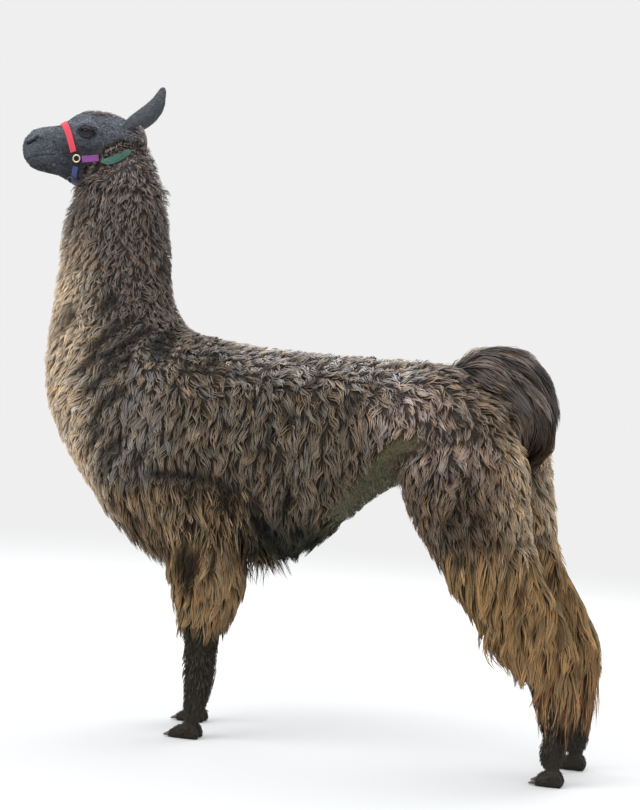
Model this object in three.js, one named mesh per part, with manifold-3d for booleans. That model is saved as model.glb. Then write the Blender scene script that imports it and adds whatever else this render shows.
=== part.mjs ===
// A standing llama in full fleece, life size. Millimetres, +Z up, the nose towards -X,
// its left side towards -Y, the feet on Z = 0.
import * as THREE from 'three';
import { mergeVertices } from 'three/addons/utils/BufferGeometryUtils.js';
import Module from 'manifold-3d';

// ---------------------------------------------------------------- driving dimensions
const backHeight = 1060;          // floor to the top of the fleece on the back
const bellyHeight = 492;          // floor to the tips of the belly fleece behind the elbows
const breastX = -795;             // foremost fleece of the neck base
const trunkWidth = 470;           // across the fleece of the barrel
const hipWidth = 430;
const neckWidth = 215;
const gap = 0.3;                  // free space between neighbouring pieces

const foreLegY = 115;             // centre plane of a foreleg, from the middle of the body
const hindLegY = 125;
const farForeLegX = -57;          // the right legs stand a little apart from the left ones
const farHindLegX = 32;
const kneeHeight = 318;
const stifleHeight = 585;
const hockHeight = 320;
const fetlockHeight = 84;
const forearmWidth = 158;
const thighWidth = 214;
const shankWidth = 150;
const cannonWidth = 62;
const toeWidth = 33;
const toeGap = 3;
const toeLength = 88;             // of the toe's shape, before it is stretched to its reach
const toeRoot = 12;               // from the heel forward to the start of the toes

const headPlace = new THREE.Vector3(-640, 0, 1560);
const headTurn = THREE.MathUtils.degToRad(14);   // the head looks a little to the left
const muzzleWidth = 82;
const cheekWidth = 140;
const eyeRadius = 20.5;
const eyePlace = [-76, 47, 51];                   // from the head's own origin, right side
const browSize = [38, 28, 27];
const nostrilPlace = [-232, 27, 17];
const nostrilSize = [15, 9, 3.2];
const mouthFront = [-276, -33];   // start of the slit between the lips, in side view
const mouthLength = 120;
const mouthRise = 19;             // from the front of the slit to its corner
const mouthDepth = 8;
const lipGap = 2.2;
const earLine = [[22, 40, 76], [58, 52, 96], [96, 60, 126], [117, 60, 158], [123, 55, 190]];
const earBreadth = 25;            // half of it, at the root
const earTaper = 9;
const earBack = 14;               // from the ear's line to its back
const earHollow = 4;              // and to the floor of its hollow
const rightEarForward = 16;       // how much further forward its tip stands

const tailWidth = 176;

const strapWidth = 18;
const strapThickness = 2.6;
const strapStep = 17;             // length of one flat stretch of a bent strap
const ringRadius = 9.5;
const ringThickness = 1.9;
const woolClearance = 1.5;        // between a strap and the wool parted by it
const coreEndX = 30;              // the head's core line, from which its surface is found
const coreHeight = 5;

// ---------------------------------------------------------------- materials
function finish(color, roughness, metalness = 0) {
  return new THREE.MeshStandardMaterial({ color, roughness, metalness });
}

const fleece = finish(0x4a3a30, 0.95);
const neckWool = finish(0x57453a, 0.95);
const legWool = finish(0x463228, 0.95);
const shortHair = finish(0x1d1a1a, 0.85);
const eyeball = finish(0x120c0a, 0.1);
const nailHorn = finish(0x26211e, 0.5);
const redWebbing = finish(0xc3223a, 0.8);
const purpleWebbing = finish(0x6a2f86, 0.8);
const greenWebbing = finish(0x2c6a55, 0.8);
const blueWebbing = finish(0x22356f, 0.8);
const castMetal = finish(0xb9a878, 0.35, 1);
const darkMetal = finish(0x33312f, 0.45, 1);

// ---------------------------------------------------------------- joining and cutting
const wasm = await Module();
wasm.setup();

function toSolid(geometry) {
  const bare = geometry.clone();
  for (const name of Object.keys(bare.attributes)) {
    if (name !== 'position') bare.deleteAttribute(name);
  }
  const merged = mergeVertices(bare, 1e-3);
  return new wasm.Manifold(new wasm.Mesh({
    numProp: 3,
    vertProperties: new Float32Array(merged.attributes.position.array),
    triVerts: new Uint32Array(merged.index.array),
  }));
}

function toGeometry(solid) {
  const { vertProperties, triVerts, numProp } = solid.getMesh();
  const points = new Float32Array(vertProperties.length / numProp * 3);
  for (let i = 0; i < points.length / 3; i += 1) {
    for (let k = 0; k < 3; k += 1) points[3 * i + k] = vertProperties[numProp * i + k];
  }
  const geometry = new THREE.BufferGeometry();
  geometry.setAttribute('position', new THREE.BufferAttribute(points, 3));
  geometry.setIndex(new THREE.BufferAttribute(new Uint32Array(triVerts), 1));
  geometry.computeVertexNormals();
  return geometry;
}

// The largest piece left by a cut, without the crumbs.
function mainPiece(solid) {
  return solid.decompose().sort((a, b) => b.volume() - a.volume())[0];
}

// A plane square to the side view, through two points [x, z]. Trimming by it keeps what
// lies on the left of the way from the first point to the second.
function sidePlane([x1, z1], [x2, z2]) {
  const length = Math.hypot(x2 - x1, z2 - z1);
  const normal = [(z1 - z2) / length, 0, (x2 - x1) / length];
  return { normal, offset: normal[0] * x1 + normal[2] * z1 };
}

function keepLeft(solid, plane) {
  return solid.trimByPlane(plane.normal, plane.offset + gap / 2);
}

function keepRight(solid, plane) {
  return solid.trimByPlane(plane.normal.map((n) => -n), -plane.offset + gap / 2);
}

// ---------------------------------------------------------------- lofts
// One ring of a loft: it runs from a point [x, z] on the lower or front line of the body to
// one on its upper or rear line, both in side view, and is so wide across.
function ring(low, high, width, { y = 0, square = 2.2, egg = 0 } = {}) {
  return { low, high, width, y, square, egg };
}

// A closed body through its rings, with domed ends: a unit sphere whose parallels become
// the rings. Egg makes the low side of a ring wider, and square its corners fuller.
function loft(rings, { around = 24, along = 24, dome = [20, 20], grow = 0 } = {}) {
  const curve = (pick) => new THREE.CatmullRomCurve3(rings.map((r) => new THREE.Vector3(...pick(r))));
  const lowLine = curve((r) => [r.low[0], r.y, r.low[1]]);
  const highLine = curve((r) => [r.high[0], r.y, r.high[1]]);
  const shapeLine = curve((r) => [r.width, r.square * 100, r.egg * 100]);
  const capShare = Math.min(2.5 / along, 0.3);
  const geometry = new THREE.SphereGeometry(1, around, along);
  const points = geometry.attributes.position;
  const unit = new THREE.Vector3();
  for (let i = 0; i < points.count; i += 1) {
    unit.fromBufferAttribute(points, i);
    const share = Math.acos(THREE.MathUtils.clamp(unit.y, -1, 1)) / Math.PI;
    const t = THREE.MathUtils.clamp((share - capShare) / (1 - 2 * capShare), 0, 1);
    const rise = Math.max(0, capShare - share, share - 1 + capShare) / capShare * Math.PI / 2;
    const low = lowLine.getPoint(t);
    const high = highLine.getPoint(t);
    const shape = shapeLine.getPoint(t);
    const middle = low.clone().add(high).multiplyScalar(0.5);
    const half = high.clone().sub(low).multiplyScalar(0.5);
    const depth = half.length() + grow;
    const bank = half.clone().normalize();
    const way = new THREE.Vector3(bank.z, 0, -bank.x);
    const end = share < 0.5 ? 0 : 1;
    const inner = lowLine.getPoint(end ? 0.97 : 0.03).add(highLine.getPoint(end ? 0.97 : 0.03));
    if (way.dot(middle.clone().sub(inner.multiplyScalar(0.5))) < 0) way.negate();
    const turn = Math.atan2(unit.z, unit.x);
    const power = 2 / (shape.y / 100);
    const cos = Math.sign(Math.cos(turn)) * Math.abs(Math.cos(turn)) ** power;
    const sin = Math.sign(Math.sin(turn)) * Math.abs(Math.sin(turn)) ** power;
    const width = (shape.x / 2 + grow) * (1 - shape.z / 100 * cos);
    const point = middle.addScaledVector(bank, depth * cos * Math.cos(rise));
    point.y += width * sin * Math.cos(rise);
    if (rise > 0) point.addScaledVector(way, (dome[end] + grow) * Math.sin(rise));
    points.setXYZ(i, point.x, point.y, point.z);
  }
  return closedOutward(geometry);
}

// Merges the seam and the poles, and turns the faces outwards.
function closedOutward(geometry) {
  geometry.deleteAttribute('normal');
  geometry.deleteAttribute('uv');
  const merged = mergeVertices(geometry, 1e-3);
  const index = merged.index.array;
  const position = merged.attributes.position;
  const kept = [];
  let volume = 0;
  const corner = [new THREE.Vector3(), new THREE.Vector3(), new THREE.Vector3()];
  for (let i = 0; i < index.length; i += 3) {
    const [a, b, c] = [index[i], index[i + 1], index[i + 2]];
    if (a === b || b === c || c === a) continue;
    kept.push(a, b, c);
    [a, b, c].forEach((v, k) => corner[k].fromBufferAttribute(position, v));
    volume += corner[0].dot(corner[1].clone().cross(corner[2]));
  }
  if (volume < 0) {
    for (let i = 0; i < kept.length; i += 3) [kept[i], kept[i + 1]] = [kept[i + 1], kept[i]];
  }
  merged.setIndex(kept);
  return merged;
}

function ellipsoid([x, y, z], [rx, ry, rz], { tilt = 0, around = 16, along = 12 } = {}) {
  const geometry = new THREE.SphereGeometry(1, around, along);
  geometry.scale(rx, ry, rz);
  geometry.rotateY(tilt);
  geometry.translate(x, y, z);
  return closedOutward(geometry);
}

// ---------------------------------------------------------------- neck and trunk
// One bent tube from the throat to the rump. Its rings fan out round the withers.
const neckRings = [
  ring([-738, 1462], [-575, 1612], 172, { square: 2.1 }),
  ring([-768, 1405], [-525, 1560], 196, { square: 2.1 }),
  ring([-781, 1325], [-482, 1440], neckWidth, { square: 2.1 }),
  ring([-783, 1225], [-449, 1290], neckWidth + 15, { square: 2.1 }),
  ring([-793, 1095], [-434, 1160], neckWidth + 70, { square: 2.1 }),
];
const shoulderRing = ring([breastX, 955], [-385, 1094], 370, { square: 2.15, egg: -0.04 });
const trunkRings = [
  shoulderRing,
  ring([-760, 826], [-320, 1082], 430, { square: 2.2, egg: -0.02 }),
  ring([-674, 690], [-245, 1072], 458, { square: 2.2, egg: 0.02 }),
  ring([-552, 543], [-170, 1064], trunkWidth, { square: 2.2, egg: 0.04 }),
  ring([-400, 474], [-80, backHeight], trunkWidth + 6, { square: 2.3, egg: 0.04 }),
  ring([-200, 482], [0, backHeight], trunkWidth, { square: 2.3, egg: 0.03 }),
  ring([-75, bellyHeight], [75, backHeight], trunkWidth - 6, { square: 2.25 }),
  ring([28, 520], [140, backHeight], trunkWidth - 30, { square: 2.2 }),
  ring([92, 605], [200, backHeight], trunkWidth - 56, { square: 2.2 }),
  ring([165, 680], [270, backHeight], trunkWidth - 68, { square: 2.2 }),
  ring([262, 735], [345, 1058], hipWidth - 20, { square: 2.2 }),
  ring([395, 760], [420, 1030], hipWidth, { square: 2.2 }),
  ring([520, 785], [490, 975], hipWidth - 60, { square: 2.2 }),
];

function body(grow = 0) {
  return loft([...neckRings, ...trunkRings], { around: 22, along: 32, dome: [40, 70], grow });
}

const neckBase = sidePlane(shoulderRing.low, shoulderRing.high);

// ---------------------------------------------------------------- tail
// Carried up over the rump and down behind it.
const tailRings = [
  ring([368, 1010], [352, 1075], 120),
  ring([430, 1000], [395, 1104], 160),
  ring([487, 968], [462, 1121], tailWidth),
  ring([520, 945], [540, 1120], tailWidth + 10),
  ring([545, 915], [612, 1052], tailWidth + 8),
  ring([562, 880], [650, 950], tailWidth - 4),
  ring([578, 838], [654, 866], tailWidth - 30),
  ring([596, 795], [638, 806], tailWidth - 70),
];

// ---------------------------------------------------------------- legs
// Front and rear line of each leg in side view, from inside the trunk down to the pastern.
const foreLegRings = [
  ring([-345, 640], [-215, 640], 90),
  ring([-380, 560], [-165, 575], 134),
  ring([-384, 490], [-146, 515], forearmWidth - 6),
  ring([-366, 428], [-130, 428], forearmWidth),
  ring([-338, 356], [-140, 356], forearmWidth - 22),
  ring([-322, 306], [-168, 306], 108),
  ring([-304, 254], [-194, 254], 80),
  ring([-293, 179], [-207, 179], cannonWidth + 6),
  ring([-283, 110], [-214, 110], cannonWidth),
  ring([-283, 58], [-226, 58], cannonWidth + 2),
];

const hindLegRings = [
  ring([300, 905], [540, 905], 110),
  ring([250, 830], [590, 850], 178),
  ring([243, 745], [608, 775], thighWidth - 6),
  ring([283, 655], [616, 680], thighWidth),
  ring([338, 565], [641, 588], thighWidth - 20),
  ring([396, 486], [690, 497], thighWidth - 42),
  ring([455, 418], [742, 418], shankWidth),
  ring([520, 345], [776, 340], shankWidth - 16),
  ring([596, 262], [784, 258], 112),
  ring([648, 196], [778, 192], 84),
  ring([670, 130], [762, 130], cannonWidth + 4),
  ring([680, 58], [742, 58], cannonWidth),
];

const legDetail = { around: 14, along: 16, dome: [20, 20] };

const toeShape = [
  ring([8, -6], [2, 34], toeWidth - 4),
  ring([-22, -9], [-20, 52], toeWidth),
  ring([-50, -9], [-49, 38], toeWidth),
  ring([-74, -8], [-72, 24], toeWidth - 7),
];

// One foot: the pastern and two toes side by side, each on its own pad, cut flat below.
function foot(pastern, heelX, reach) {
  const stretch = reach / toeLength;
  const toes = [-1, 1].map((side) => {
    const toe = loft(toeShape, { around: 7, along: 5, dome: [8, 9] });
    toe.rotateZ(side * -0.05);
    toe.scale(stretch, 1, 1);
    toe.translate(heelX - toeRoot, side * (toeWidth + toeGap) / 2, 0);
    return toSolid(toe);
  });
  return pastern.add(toes[0]).add(toes[1]).trimByPlane([0, 0, 1], 0);
}

const nailShape = [
  ring([2, 3], [4, 19], 13),
  ring([-9, 2], [-7, 16], 11),
  ring([-20, 1.5], [-19, 8], 6),
];

// A toe nail: a short keeled horn over the tip of its toe.
function nail(heelX, reach, side, grow = 0) {
  const geometry = loft(nailShape, { around: 6, along: 4, dome: [3, 3], grow });
  const tip = heelX - toeRoot - 76 * reach / toeLength;
  geometry.translate(tip + 6, side * ((toeWidth + toeGap) / 2 + 4), 0);
  return toSolid(geometry).trimByPlane([0, 0, 1], 0.4);
}

// Parts a leg at its joints, given from the top down, and adds its foot.
function buildLeg({ name, rings, names, joints, place, heelX, reach }) {
  const group = new THREE.Group();
  group.position.copy(place);
  const whole = toSolid(loft(rings, legDetail));
  const trunk = toSolid(body(gap)).translate([-place.x, -place.y, 0]);
  let rest = mainPiece(whole.subtract(trunk));
  const pieces = [];
  for (const [left, right] of joints) {
    const plane = sidePlane(left, right);
    pieces.push(keepLeft(rest, plane));
    rest = keepRight(rest, plane);
  }
  const nails = [-1, 1].map((side) => nail(heelX, reach, side));
  let sole = foot(rest, heelX, reach);
  for (const side of [-1, 1]) sole = sole.subtract(nail(heelX, reach, side, gap));
  pieces.push(mainPiece(sole));
  pieces.forEach((piece, i) => {
    const material = i < names.length - 2 ? legWool : shortHair;
    group.add(named(`${name}_${names[i]}`, toGeometry(piece), material));
  });
  nails.forEach((piece, i) => {
    const claw = (place.y < 0) === (i === 0) ? 'outer' : 'inner';
    group.add(named(`${name}_nail_${claw}`, toGeometry(piece), nailHorn));
  });
  return group;
}

function named(name, geometry, material) {
  const mesh = new THREE.Mesh(geometry, material);
  mesh.name = name;
  return mesh;
}

// ---------------------------------------------------------------- head
// In the head's own frame: its origin lies between the jaw angle and the poll.
const headRings = [
  ring([-249, -32], [-252, 30], 56, { square: 2.3 }),
  ring([-232, -54], [-233, 54], muzzleWidth - 4, { square: 2.5 }),
  ring([-195, -64], [-195, 65], muzzleWidth, { square: 2.5 }),
  ring([-152, -71], [-154, 74], muzzleWidth + 10, { square: 2.4 }),
  ring([-120, -87], [-130, 94], 112, { square: 2.3 }),
  ring([-86, -100], [-94, 115], cheekWidth - 8, { square: 2.3, egg: 0.02 }),
  ring([-40, -104], [-50, 115], cheekWidth, { square: 2.3 }),
  ring([8, -86], [0, 108], cheekWidth - 4, { square: 2.2 }),
  ring([60, -48], [52, 90], 112, { square: 2.1 }),
];

function headBlank(grow = 0) {
  return loft(headRings, { around: 16, along: 18, dome: [9, 28], grow });
}

// The slit between the lips, open to the front and to both sides.
function mouthSlit() {
  const slit = new THREE.BoxGeometry(mouthLength, cheekWidth, lipGap, 3, 1, 1);
  const points = slit.attributes.position;
  for (let i = 0; i < points.count; i += 1) {
    const back = points.getX(i) / mouthLength + 0.5;
    points.setX(i, mouthFront[0] + back * mouthLength);
    points.setZ(i, points.getZ(i) + mouthFront[1] + mouthRise * Math.sin(back * Math.PI / 2));
  }
  return toSolid(closedOutward(slit)).subtract(toSolid(headBlank(-mouthDepth)));
}

function head() {
  let solid = toSolid(headBlank());
  for (const side of [-1, 1]) {
    const [x, y, z] = eyePlace;
    const brow = ellipsoid([x + 2, side * (y - 4), z + 6], browSize, { tilt: 0.1, around: 8, along: 6 });
    solid = solid.add(toSolid(brow));
  }
  for (const side of [-1, 1]) {
    const [x, y, z] = eyePlace;
    const [nostrilX, nostrilY, nostrilZ] = nostrilPlace;
    const nostrilShape = { tilt: -0.5, around: 6, along: 4 };
    const nostril = ellipsoid([nostrilX, side * nostrilY, nostrilZ], nostrilSize, nostrilShape);
    const socketSize = [1, 1, 1].map(() => eyeRadius + gap);
    const socket = ellipsoid([x, side * y, z], socketSize, { around: 10, along: 7 });
    solid = solid.subtract(toSolid(nostril)).subtract(toSolid(socket));
  }
  return mainPiece(solid.subtract(mouthSlit()));
}

// A long ear bent like a banana, hollow towards the front and the side.
function ear(side, grow = 0) {
  const pricked = side > 0 ? rightEarForward : 0;
  const bend = new THREE.CatmullRomCurve3(earLine.map(([x, y, z], i) => new THREE.Vector3(
    x - pricked * i / 4,
    side * y,
    z + pricked * i / 6,
  )));
  const geometry = new THREE.SphereGeometry(1, 10, 9);
  const points = geometry.attributes.position;
  const unit = new THREE.Vector3();
  for (let i = 0; i < points.count; i += 1) {
    unit.fromBufferAttribute(points, i);
    const t = (1 - unit.y) / 2;
    const centre = bend.getPoint(t);
    const along = bend.getTangent(t);
    const outward = new THREE.Vector3(-0.35, side, 0.15).projectOnPlane(along).normalize();
    const across = new THREE.Vector3().crossVectors(along, outward).normalize();
    const round = Math.atan2(unit.z, unit.x);
    const ends = Math.sqrt(Math.max(0, 1 - unit.y * unit.y));
    const breadth = ((earBreadth - earTaper * t ** 2) * ends ** 0.7 + grow) * Math.cos(round);
    const behind = earBack * ends ** 0.8 + grow;
    const hollow = earHollow * ends - grow;
    const depth = (Math.sin(round) > 0 ? hollow : behind) * Math.abs(Math.sin(round));
    if (ends > 1e-6) centre.addScaledVector(across, breadth).addScaledVector(outward, depth);
    points.setXYZ(i, centre.x, centre.y, centre.z);
  }
  return toSolid(closedOutward(geometry));
}

// ---------------------------------------------------------------- halter
// Where the head's surface lies, seen from its core towards a rough point.
const headSurface = new THREE.Mesh(headBlank());
const ray = new THREE.Raycaster();

function onSurface(rough) {
  const core = new THREE.Vector3(Math.min(rough.x, coreEndX), 0, coreHeight);
  const inward = core.clone().sub(rough).normalize();
  ray.set(core.clone().addScaledVector(inward, -400), inward);
  return ray.intersectObject(headSurface)[0].point;
}

// A flat strap laid on the head along a way of rough points round its core. Its underside
// runs into the head, which trims it.
function strapBlank({ way, width }, grow = 0) {
  const curve = new THREE.CatmullRomCurve3(way.map((p) => new THREE.Vector3(...p)));
  const geometry = new THREE.BoxGeometry(1, 1, 1, Math.round(curve.getLength() / strapStep), 1, 1);
  const points = geometry.attributes.position;
  for (let i = 0; i < points.count; i += 1) {
    const t = THREE.MathUtils.clamp(points.getX(i) + 0.5, 0, 1);
    const rough = curve.getPoint(t);
    const ahead = onSurface(curve.getPoint(Math.min(1, t + 0.02)));
    const along = ahead.sub(onSurface(curve.getPoint(Math.max(0, t - 0.02)))).normalize();
    const centre = onSurface(rough);
    const out = centre.clone().setX(Math.max(0, centre.x - coreEndX)).normalize();
    const across = new THREE.Vector3().crossVectors(out, along).normalize();
    const edges = [-0.5, 0.5].map((side) => (
      onSurface(centre.clone().addScaledVector(across, side * width))
    ));
    const normal = edges[1].clone().sub(edges[0]).cross(along).normalize();
    if (normal.dot(out) < 0) normal.negate();
    const height = points.getZ(i) > 0 ? strapThickness + grow : -strapThickness;
    const spread = edges[1].clone().sub(edges[0]).normalize().multiplyScalar(2 * points.getY(i) * grow);
    const point = edges[points.getY(i) > 0 ? 1 : 0].addScaledVector(normal, height).add(spread);
    points.setXYZ(i, point.x, point.y, point.z);
  }
  return toSolid(closedOutward(geometry));
}

// A metal ring lying on the head above a rough point, clear of the straps under it.
function halterRing(rough) {
  const centre = onSurface(new THREE.Vector3(...rough));
  const near = [[6, 0], [0, 6]].map(([ahead, above]) => (
    onSurface(centre.clone().add(new THREE.Vector3(ahead, 0, above)))
  ));
  const normal = near[0].sub(centre).cross(near[1].sub(centre)).normalize();
  if (normal.y * centre.y < 0) normal.negate();
  const geometry = new THREE.TorusGeometry(ringRadius, ringThickness, 4, 10);
  geometry.applyQuaternion(new THREE.Quaternion().setFromUnitVectors(new THREE.Vector3(0, 0, 1), normal));
  const lift = strapThickness + ringThickness + 3 * gap;
  geometry.translate(...centre.addScaledVector(normal, lift).toArray());
  return closedOutward(geometry);
}

// The way of a strap over one side, the middle and the other side.
function bothSides(half) {
  const far = half.map(([x, y, z]) => [x, -y, z]).reverse();
  return [...half, ...far.slice(half[half.length - 1][1] === 0 ? 1 : 0)];
}

const straps = {
  halter_noseband: {
    way: bothSides([[-108, -52, -8], [-126, -46, 34], [-146, -26, 68], [-152, 0, 74]]),
    width: strapWidth,
    material: redWebbing,
  },
  halter_chin: {
    way: bothSides([[-101, -52, -42], [-106, -40, -74], [-108, 0, -92]]),
    width: strapWidth - 2,
    material: blueWebbing,
  },
  halter_crown: {
    way: bothSides([
      [-30, -70, -24], [-10, -70, -30], [14, -68, -20], [44, -56, 6], [70, -32, 36], [84, 0, 52],
    ]),
    width: strapWidth - 5,
    material: greenWebbing,
  },
};
for (const [sideName, side] of [['left', -1], ['right', 1]]) {
  straps[`halter_cheek_${sideName}`] = {
    way: [[-84, 62, -24], [-62, 66, -22], [-38, 70, -19]].map(([x, y, z]) => [x, side * y, z]),
    width: strapWidth,
    material: purpleWebbing,
  };
}

const rings = {
  halter_ring_left: { geometry: halterRing([-98, -60, -24]), material: castMetal },
  halter_ring_right: { geometry: halterRing([-98, 60, -24]), material: castMetal },
  halter_ring_chin: { geometry: halterRing([-112, -34, -84]), material: darkMetal },
};

// ---------------------------------------------------------------- assembly
const llama = new THREE.Group();

const whole = toSolid(body());
const headGroup = new THREE.Group();
headGroup.position.copy(headPlace);
headGroup.rotation.z = headTurn;
headGroup.updateMatrix();

// A solid of the head's frame, seen in the frame of the body.
function onBody(solid) {
  const degrees = THREE.MathUtils.radToDeg(headTurn);
  return solid.rotate([0, 0, degrees]).translate(headPlace.toArray());
}

const headGrown = onBody(toSolid(headBlank(gap)));
const trunk = keepRight(whole, neckBase);
let neck = keepLeft(whole, neckBase).subtract(headGrown);
for (const side of [-1, 1]) neck = neck.subtract(onBody(ear(side, gap)));
for (const piece of Object.values(straps)) {
  neck = neck.subtract(onBody(strapBlank(piece, woolClearance)));
}
llama.add(named('neck', toGeometry(mainPiece(neck)), neckWool));
llama.add(named('trunk', toGeometry(trunk), fleece));

headGroup.add(named('head', toGeometry(head()), shortHair));
for (const [sideName, side] of [['left', -1], ['right', 1]]) {
  const [x, y, z] = eyePlace;
  const ball = new THREE.SphereGeometry(eyeRadius, 10, 7);
  const eye = named(`eye_${sideName}`, ball, eyeball);
  eye.position.set(x, side * y, z);
  headGroup.add(eye);
  const earPiece = mainPiece(ear(side).subtract(toSolid(headBlank(gap))));
  headGroup.add(named(`ear_${sideName}`, toGeometry(earPiece), shortHair));
}
for (const [name, piece] of Object.entries(straps)) {
  const trimmed = mainPiece(strapBlank(piece).subtract(toSolid(headBlank(gap))));
  headGroup.add(named(name, toGeometry(trimmed), piece.material));
}
for (const [name, piece] of Object.entries(rings)) {
  headGroup.add(named(name, piece.geometry, piece.material));
}
llama.add(headGroup);

for (const [sideName, side] of [['left', -1], ['right', 1]]) {
  llama.add(buildLeg({
    name: `foreleg_${sideName}`,
    rings: foreLegRings,
    names: ['upper', 'cannon', 'foot'],
    joints: [
      [[-400, kneeHeight], [-100, kneeHeight]],
      [[-400, fetlockHeight], [-100, fetlockHeight]],
    ],
    place: new THREE.Vector3(side > 0 ? farForeLegX : 0, side * foreLegY, 0),
    heelX: -226,
    reach: 84,
  }));
  llama.add(buildLeg({
    name: `hindleg_${sideName}`,
    rings: hindLegRings,
    names: ['thigh', 'shank', 'cannon', 'foot'],
    joints: [
      [[200, stifleHeight - 30], [700, stifleHeight + 30]],
      [[400, hockHeight], [900, hockHeight - 40]],
      [[400, fetlockHeight], [900, fetlockHeight]],
    ],
    place: new THREE.Vector3(side > 0 ? farHindLegX : 0, side * hindLegY, 0),
    heelX: 748,
    reach: 72,
  }));
}

const tail = toSolid(loft(tailRings, { around: 12, along: 14, dome: [25, 38] }));
let tailCut = tail.subtract(toSolid(body(gap)));
for (const side of [-1, 1]) {
  const thigh = loft(hindLegRings, { ...legDetail, grow: gap });
  tailCut = tailCut.subtract(toSolid(thigh).translate([side > 0 ? farHindLegX : 0, side * hindLegY, 0]));
}
llama.add(named('tail', toGeometry(mainPiece(tailCut)), legWool));

// The origin lies on the floor, under the middle of the animal's box.
llama.updateMatrixWorld(true);
const box = new THREE.Box3().setFromObject(llama);
llama.position.set(-(box.min.x + box.max.x) / 2, -(box.min.y + box.max.y) / 2, -box.min.z);
llama.updateMatrixWorld(true);

export default llama;
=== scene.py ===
import math

import bmesh
import bpy
import numpy as np
from mathutils import Matrix, Vector
from mathutils.bvhtree import BVHTree
from mathutils.kdtree import KDTree


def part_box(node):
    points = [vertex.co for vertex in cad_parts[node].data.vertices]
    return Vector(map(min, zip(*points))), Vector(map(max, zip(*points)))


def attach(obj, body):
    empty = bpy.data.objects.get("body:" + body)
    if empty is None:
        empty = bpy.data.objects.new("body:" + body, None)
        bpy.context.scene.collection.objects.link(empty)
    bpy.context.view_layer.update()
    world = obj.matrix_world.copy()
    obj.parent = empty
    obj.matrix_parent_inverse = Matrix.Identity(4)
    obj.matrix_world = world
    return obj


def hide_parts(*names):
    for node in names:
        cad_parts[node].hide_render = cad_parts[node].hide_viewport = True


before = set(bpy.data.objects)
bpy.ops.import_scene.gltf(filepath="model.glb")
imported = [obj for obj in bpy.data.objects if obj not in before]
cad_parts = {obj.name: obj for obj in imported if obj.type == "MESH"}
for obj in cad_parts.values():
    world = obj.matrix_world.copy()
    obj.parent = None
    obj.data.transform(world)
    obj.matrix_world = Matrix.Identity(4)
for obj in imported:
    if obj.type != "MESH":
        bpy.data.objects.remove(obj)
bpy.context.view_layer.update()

print("frame loaded")


def newObject(name, data):
    made = bpy.data.objects.new(name, data)
    bpy.context.collection.objects.link(made)
    return made


def newMaterial(name, finish):
    material = bpy.data.materials.new(name)
    material.use_nodes = True
    shader = material.node_tree.nodes["Principled BSDF"]
    for key, value in finish.items():
        shader.inputs[key].default_value = value
    return material, material.node_tree, shader


def addNode(tree, kind, inputs=None, **settings):
    node = tree.nodes.new(kind)
    for key, value in settings.items():
        setattr(node, key, value)
    for key, value in (inputs or {}).items():
        node.inputs[key].default_value = value
    return node


def wire(tree, *links):     # each is a node, its output, the next node and its input
    for start, output, end, entry in links:
        tree.links.new(start.outputs[output], end.inputs[entry])


cameraValues = {
    "azimuth": 14.0,        # degrees from square on the left side, towards the tail
    "distance": 4.9,
    "height": 0.986,
    "aimX": 0.0472,
    "tiltDown": 0.83,
    "roll": 4.55,           # the camera was held a little askew
    "lens": 80.66,
    "sensor": 36.0,
}


def makeCamera():
    v = cameraValues
    turn, tilt, roll = (math.radians(v[k]) for k in ("azimuth", "tiltDown", "roll"))
    forward = Vector((-math.sin(turn) * math.cos(tilt), math.cos(turn) * math.cos(tilt), -math.sin(tilt)))
    level = forward.cross(Vector((0, 0, 1))).normalized()
    upright = level.cross(forward)
    right = level * math.cos(roll) + upright * math.sin(roll)
    up = upright * math.cos(roll) - level * math.sin(roll)
    place = Vector((v["aimX"] + math.sin(turn) * v["distance"], -math.cos(turn) * v["distance"], v["height"]))
    data = bpy.data.cameras.new("camera")
    data.sensor_width = v["sensor"]
    data.lens = v["lens"]
    camera = newObject("camera", data)
    camera.matrix_world = Matrix((
        (right.x, up.x, -forward.x, place.x),
        (right.y, up.y, -forward.y, place.y),
        (right.z, up.z, -forward.z, place.z),
        (0, 0, 0, 1),
    ))
    bpy.context.scene.camera = camera


makeCamera()

studioValues = {
    "paper": (0.86, 0.865, 0.86, 1),
    "zenith": (1.75, 1.80, 1.88, 1),
    "skyRise": (0.30, 0.85),        # heights between which the paper turns to the bright zenith
    "floorPaint": (0.60, 0.60, 0.595, 1),
    "floorRadius": 30.0,
    "fadeStart": 2.2,
    "fadeEnd": 6.0,
    "keyPower": 260.0,
    "keySize": 4.0,
    "keyPlace": (-3.4, -3.6, 5.6),
    "backPower": 160.0,
    "backSize": 3.5,
    "backPlace": (1.5, 3.8, 5.0),
}


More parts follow.
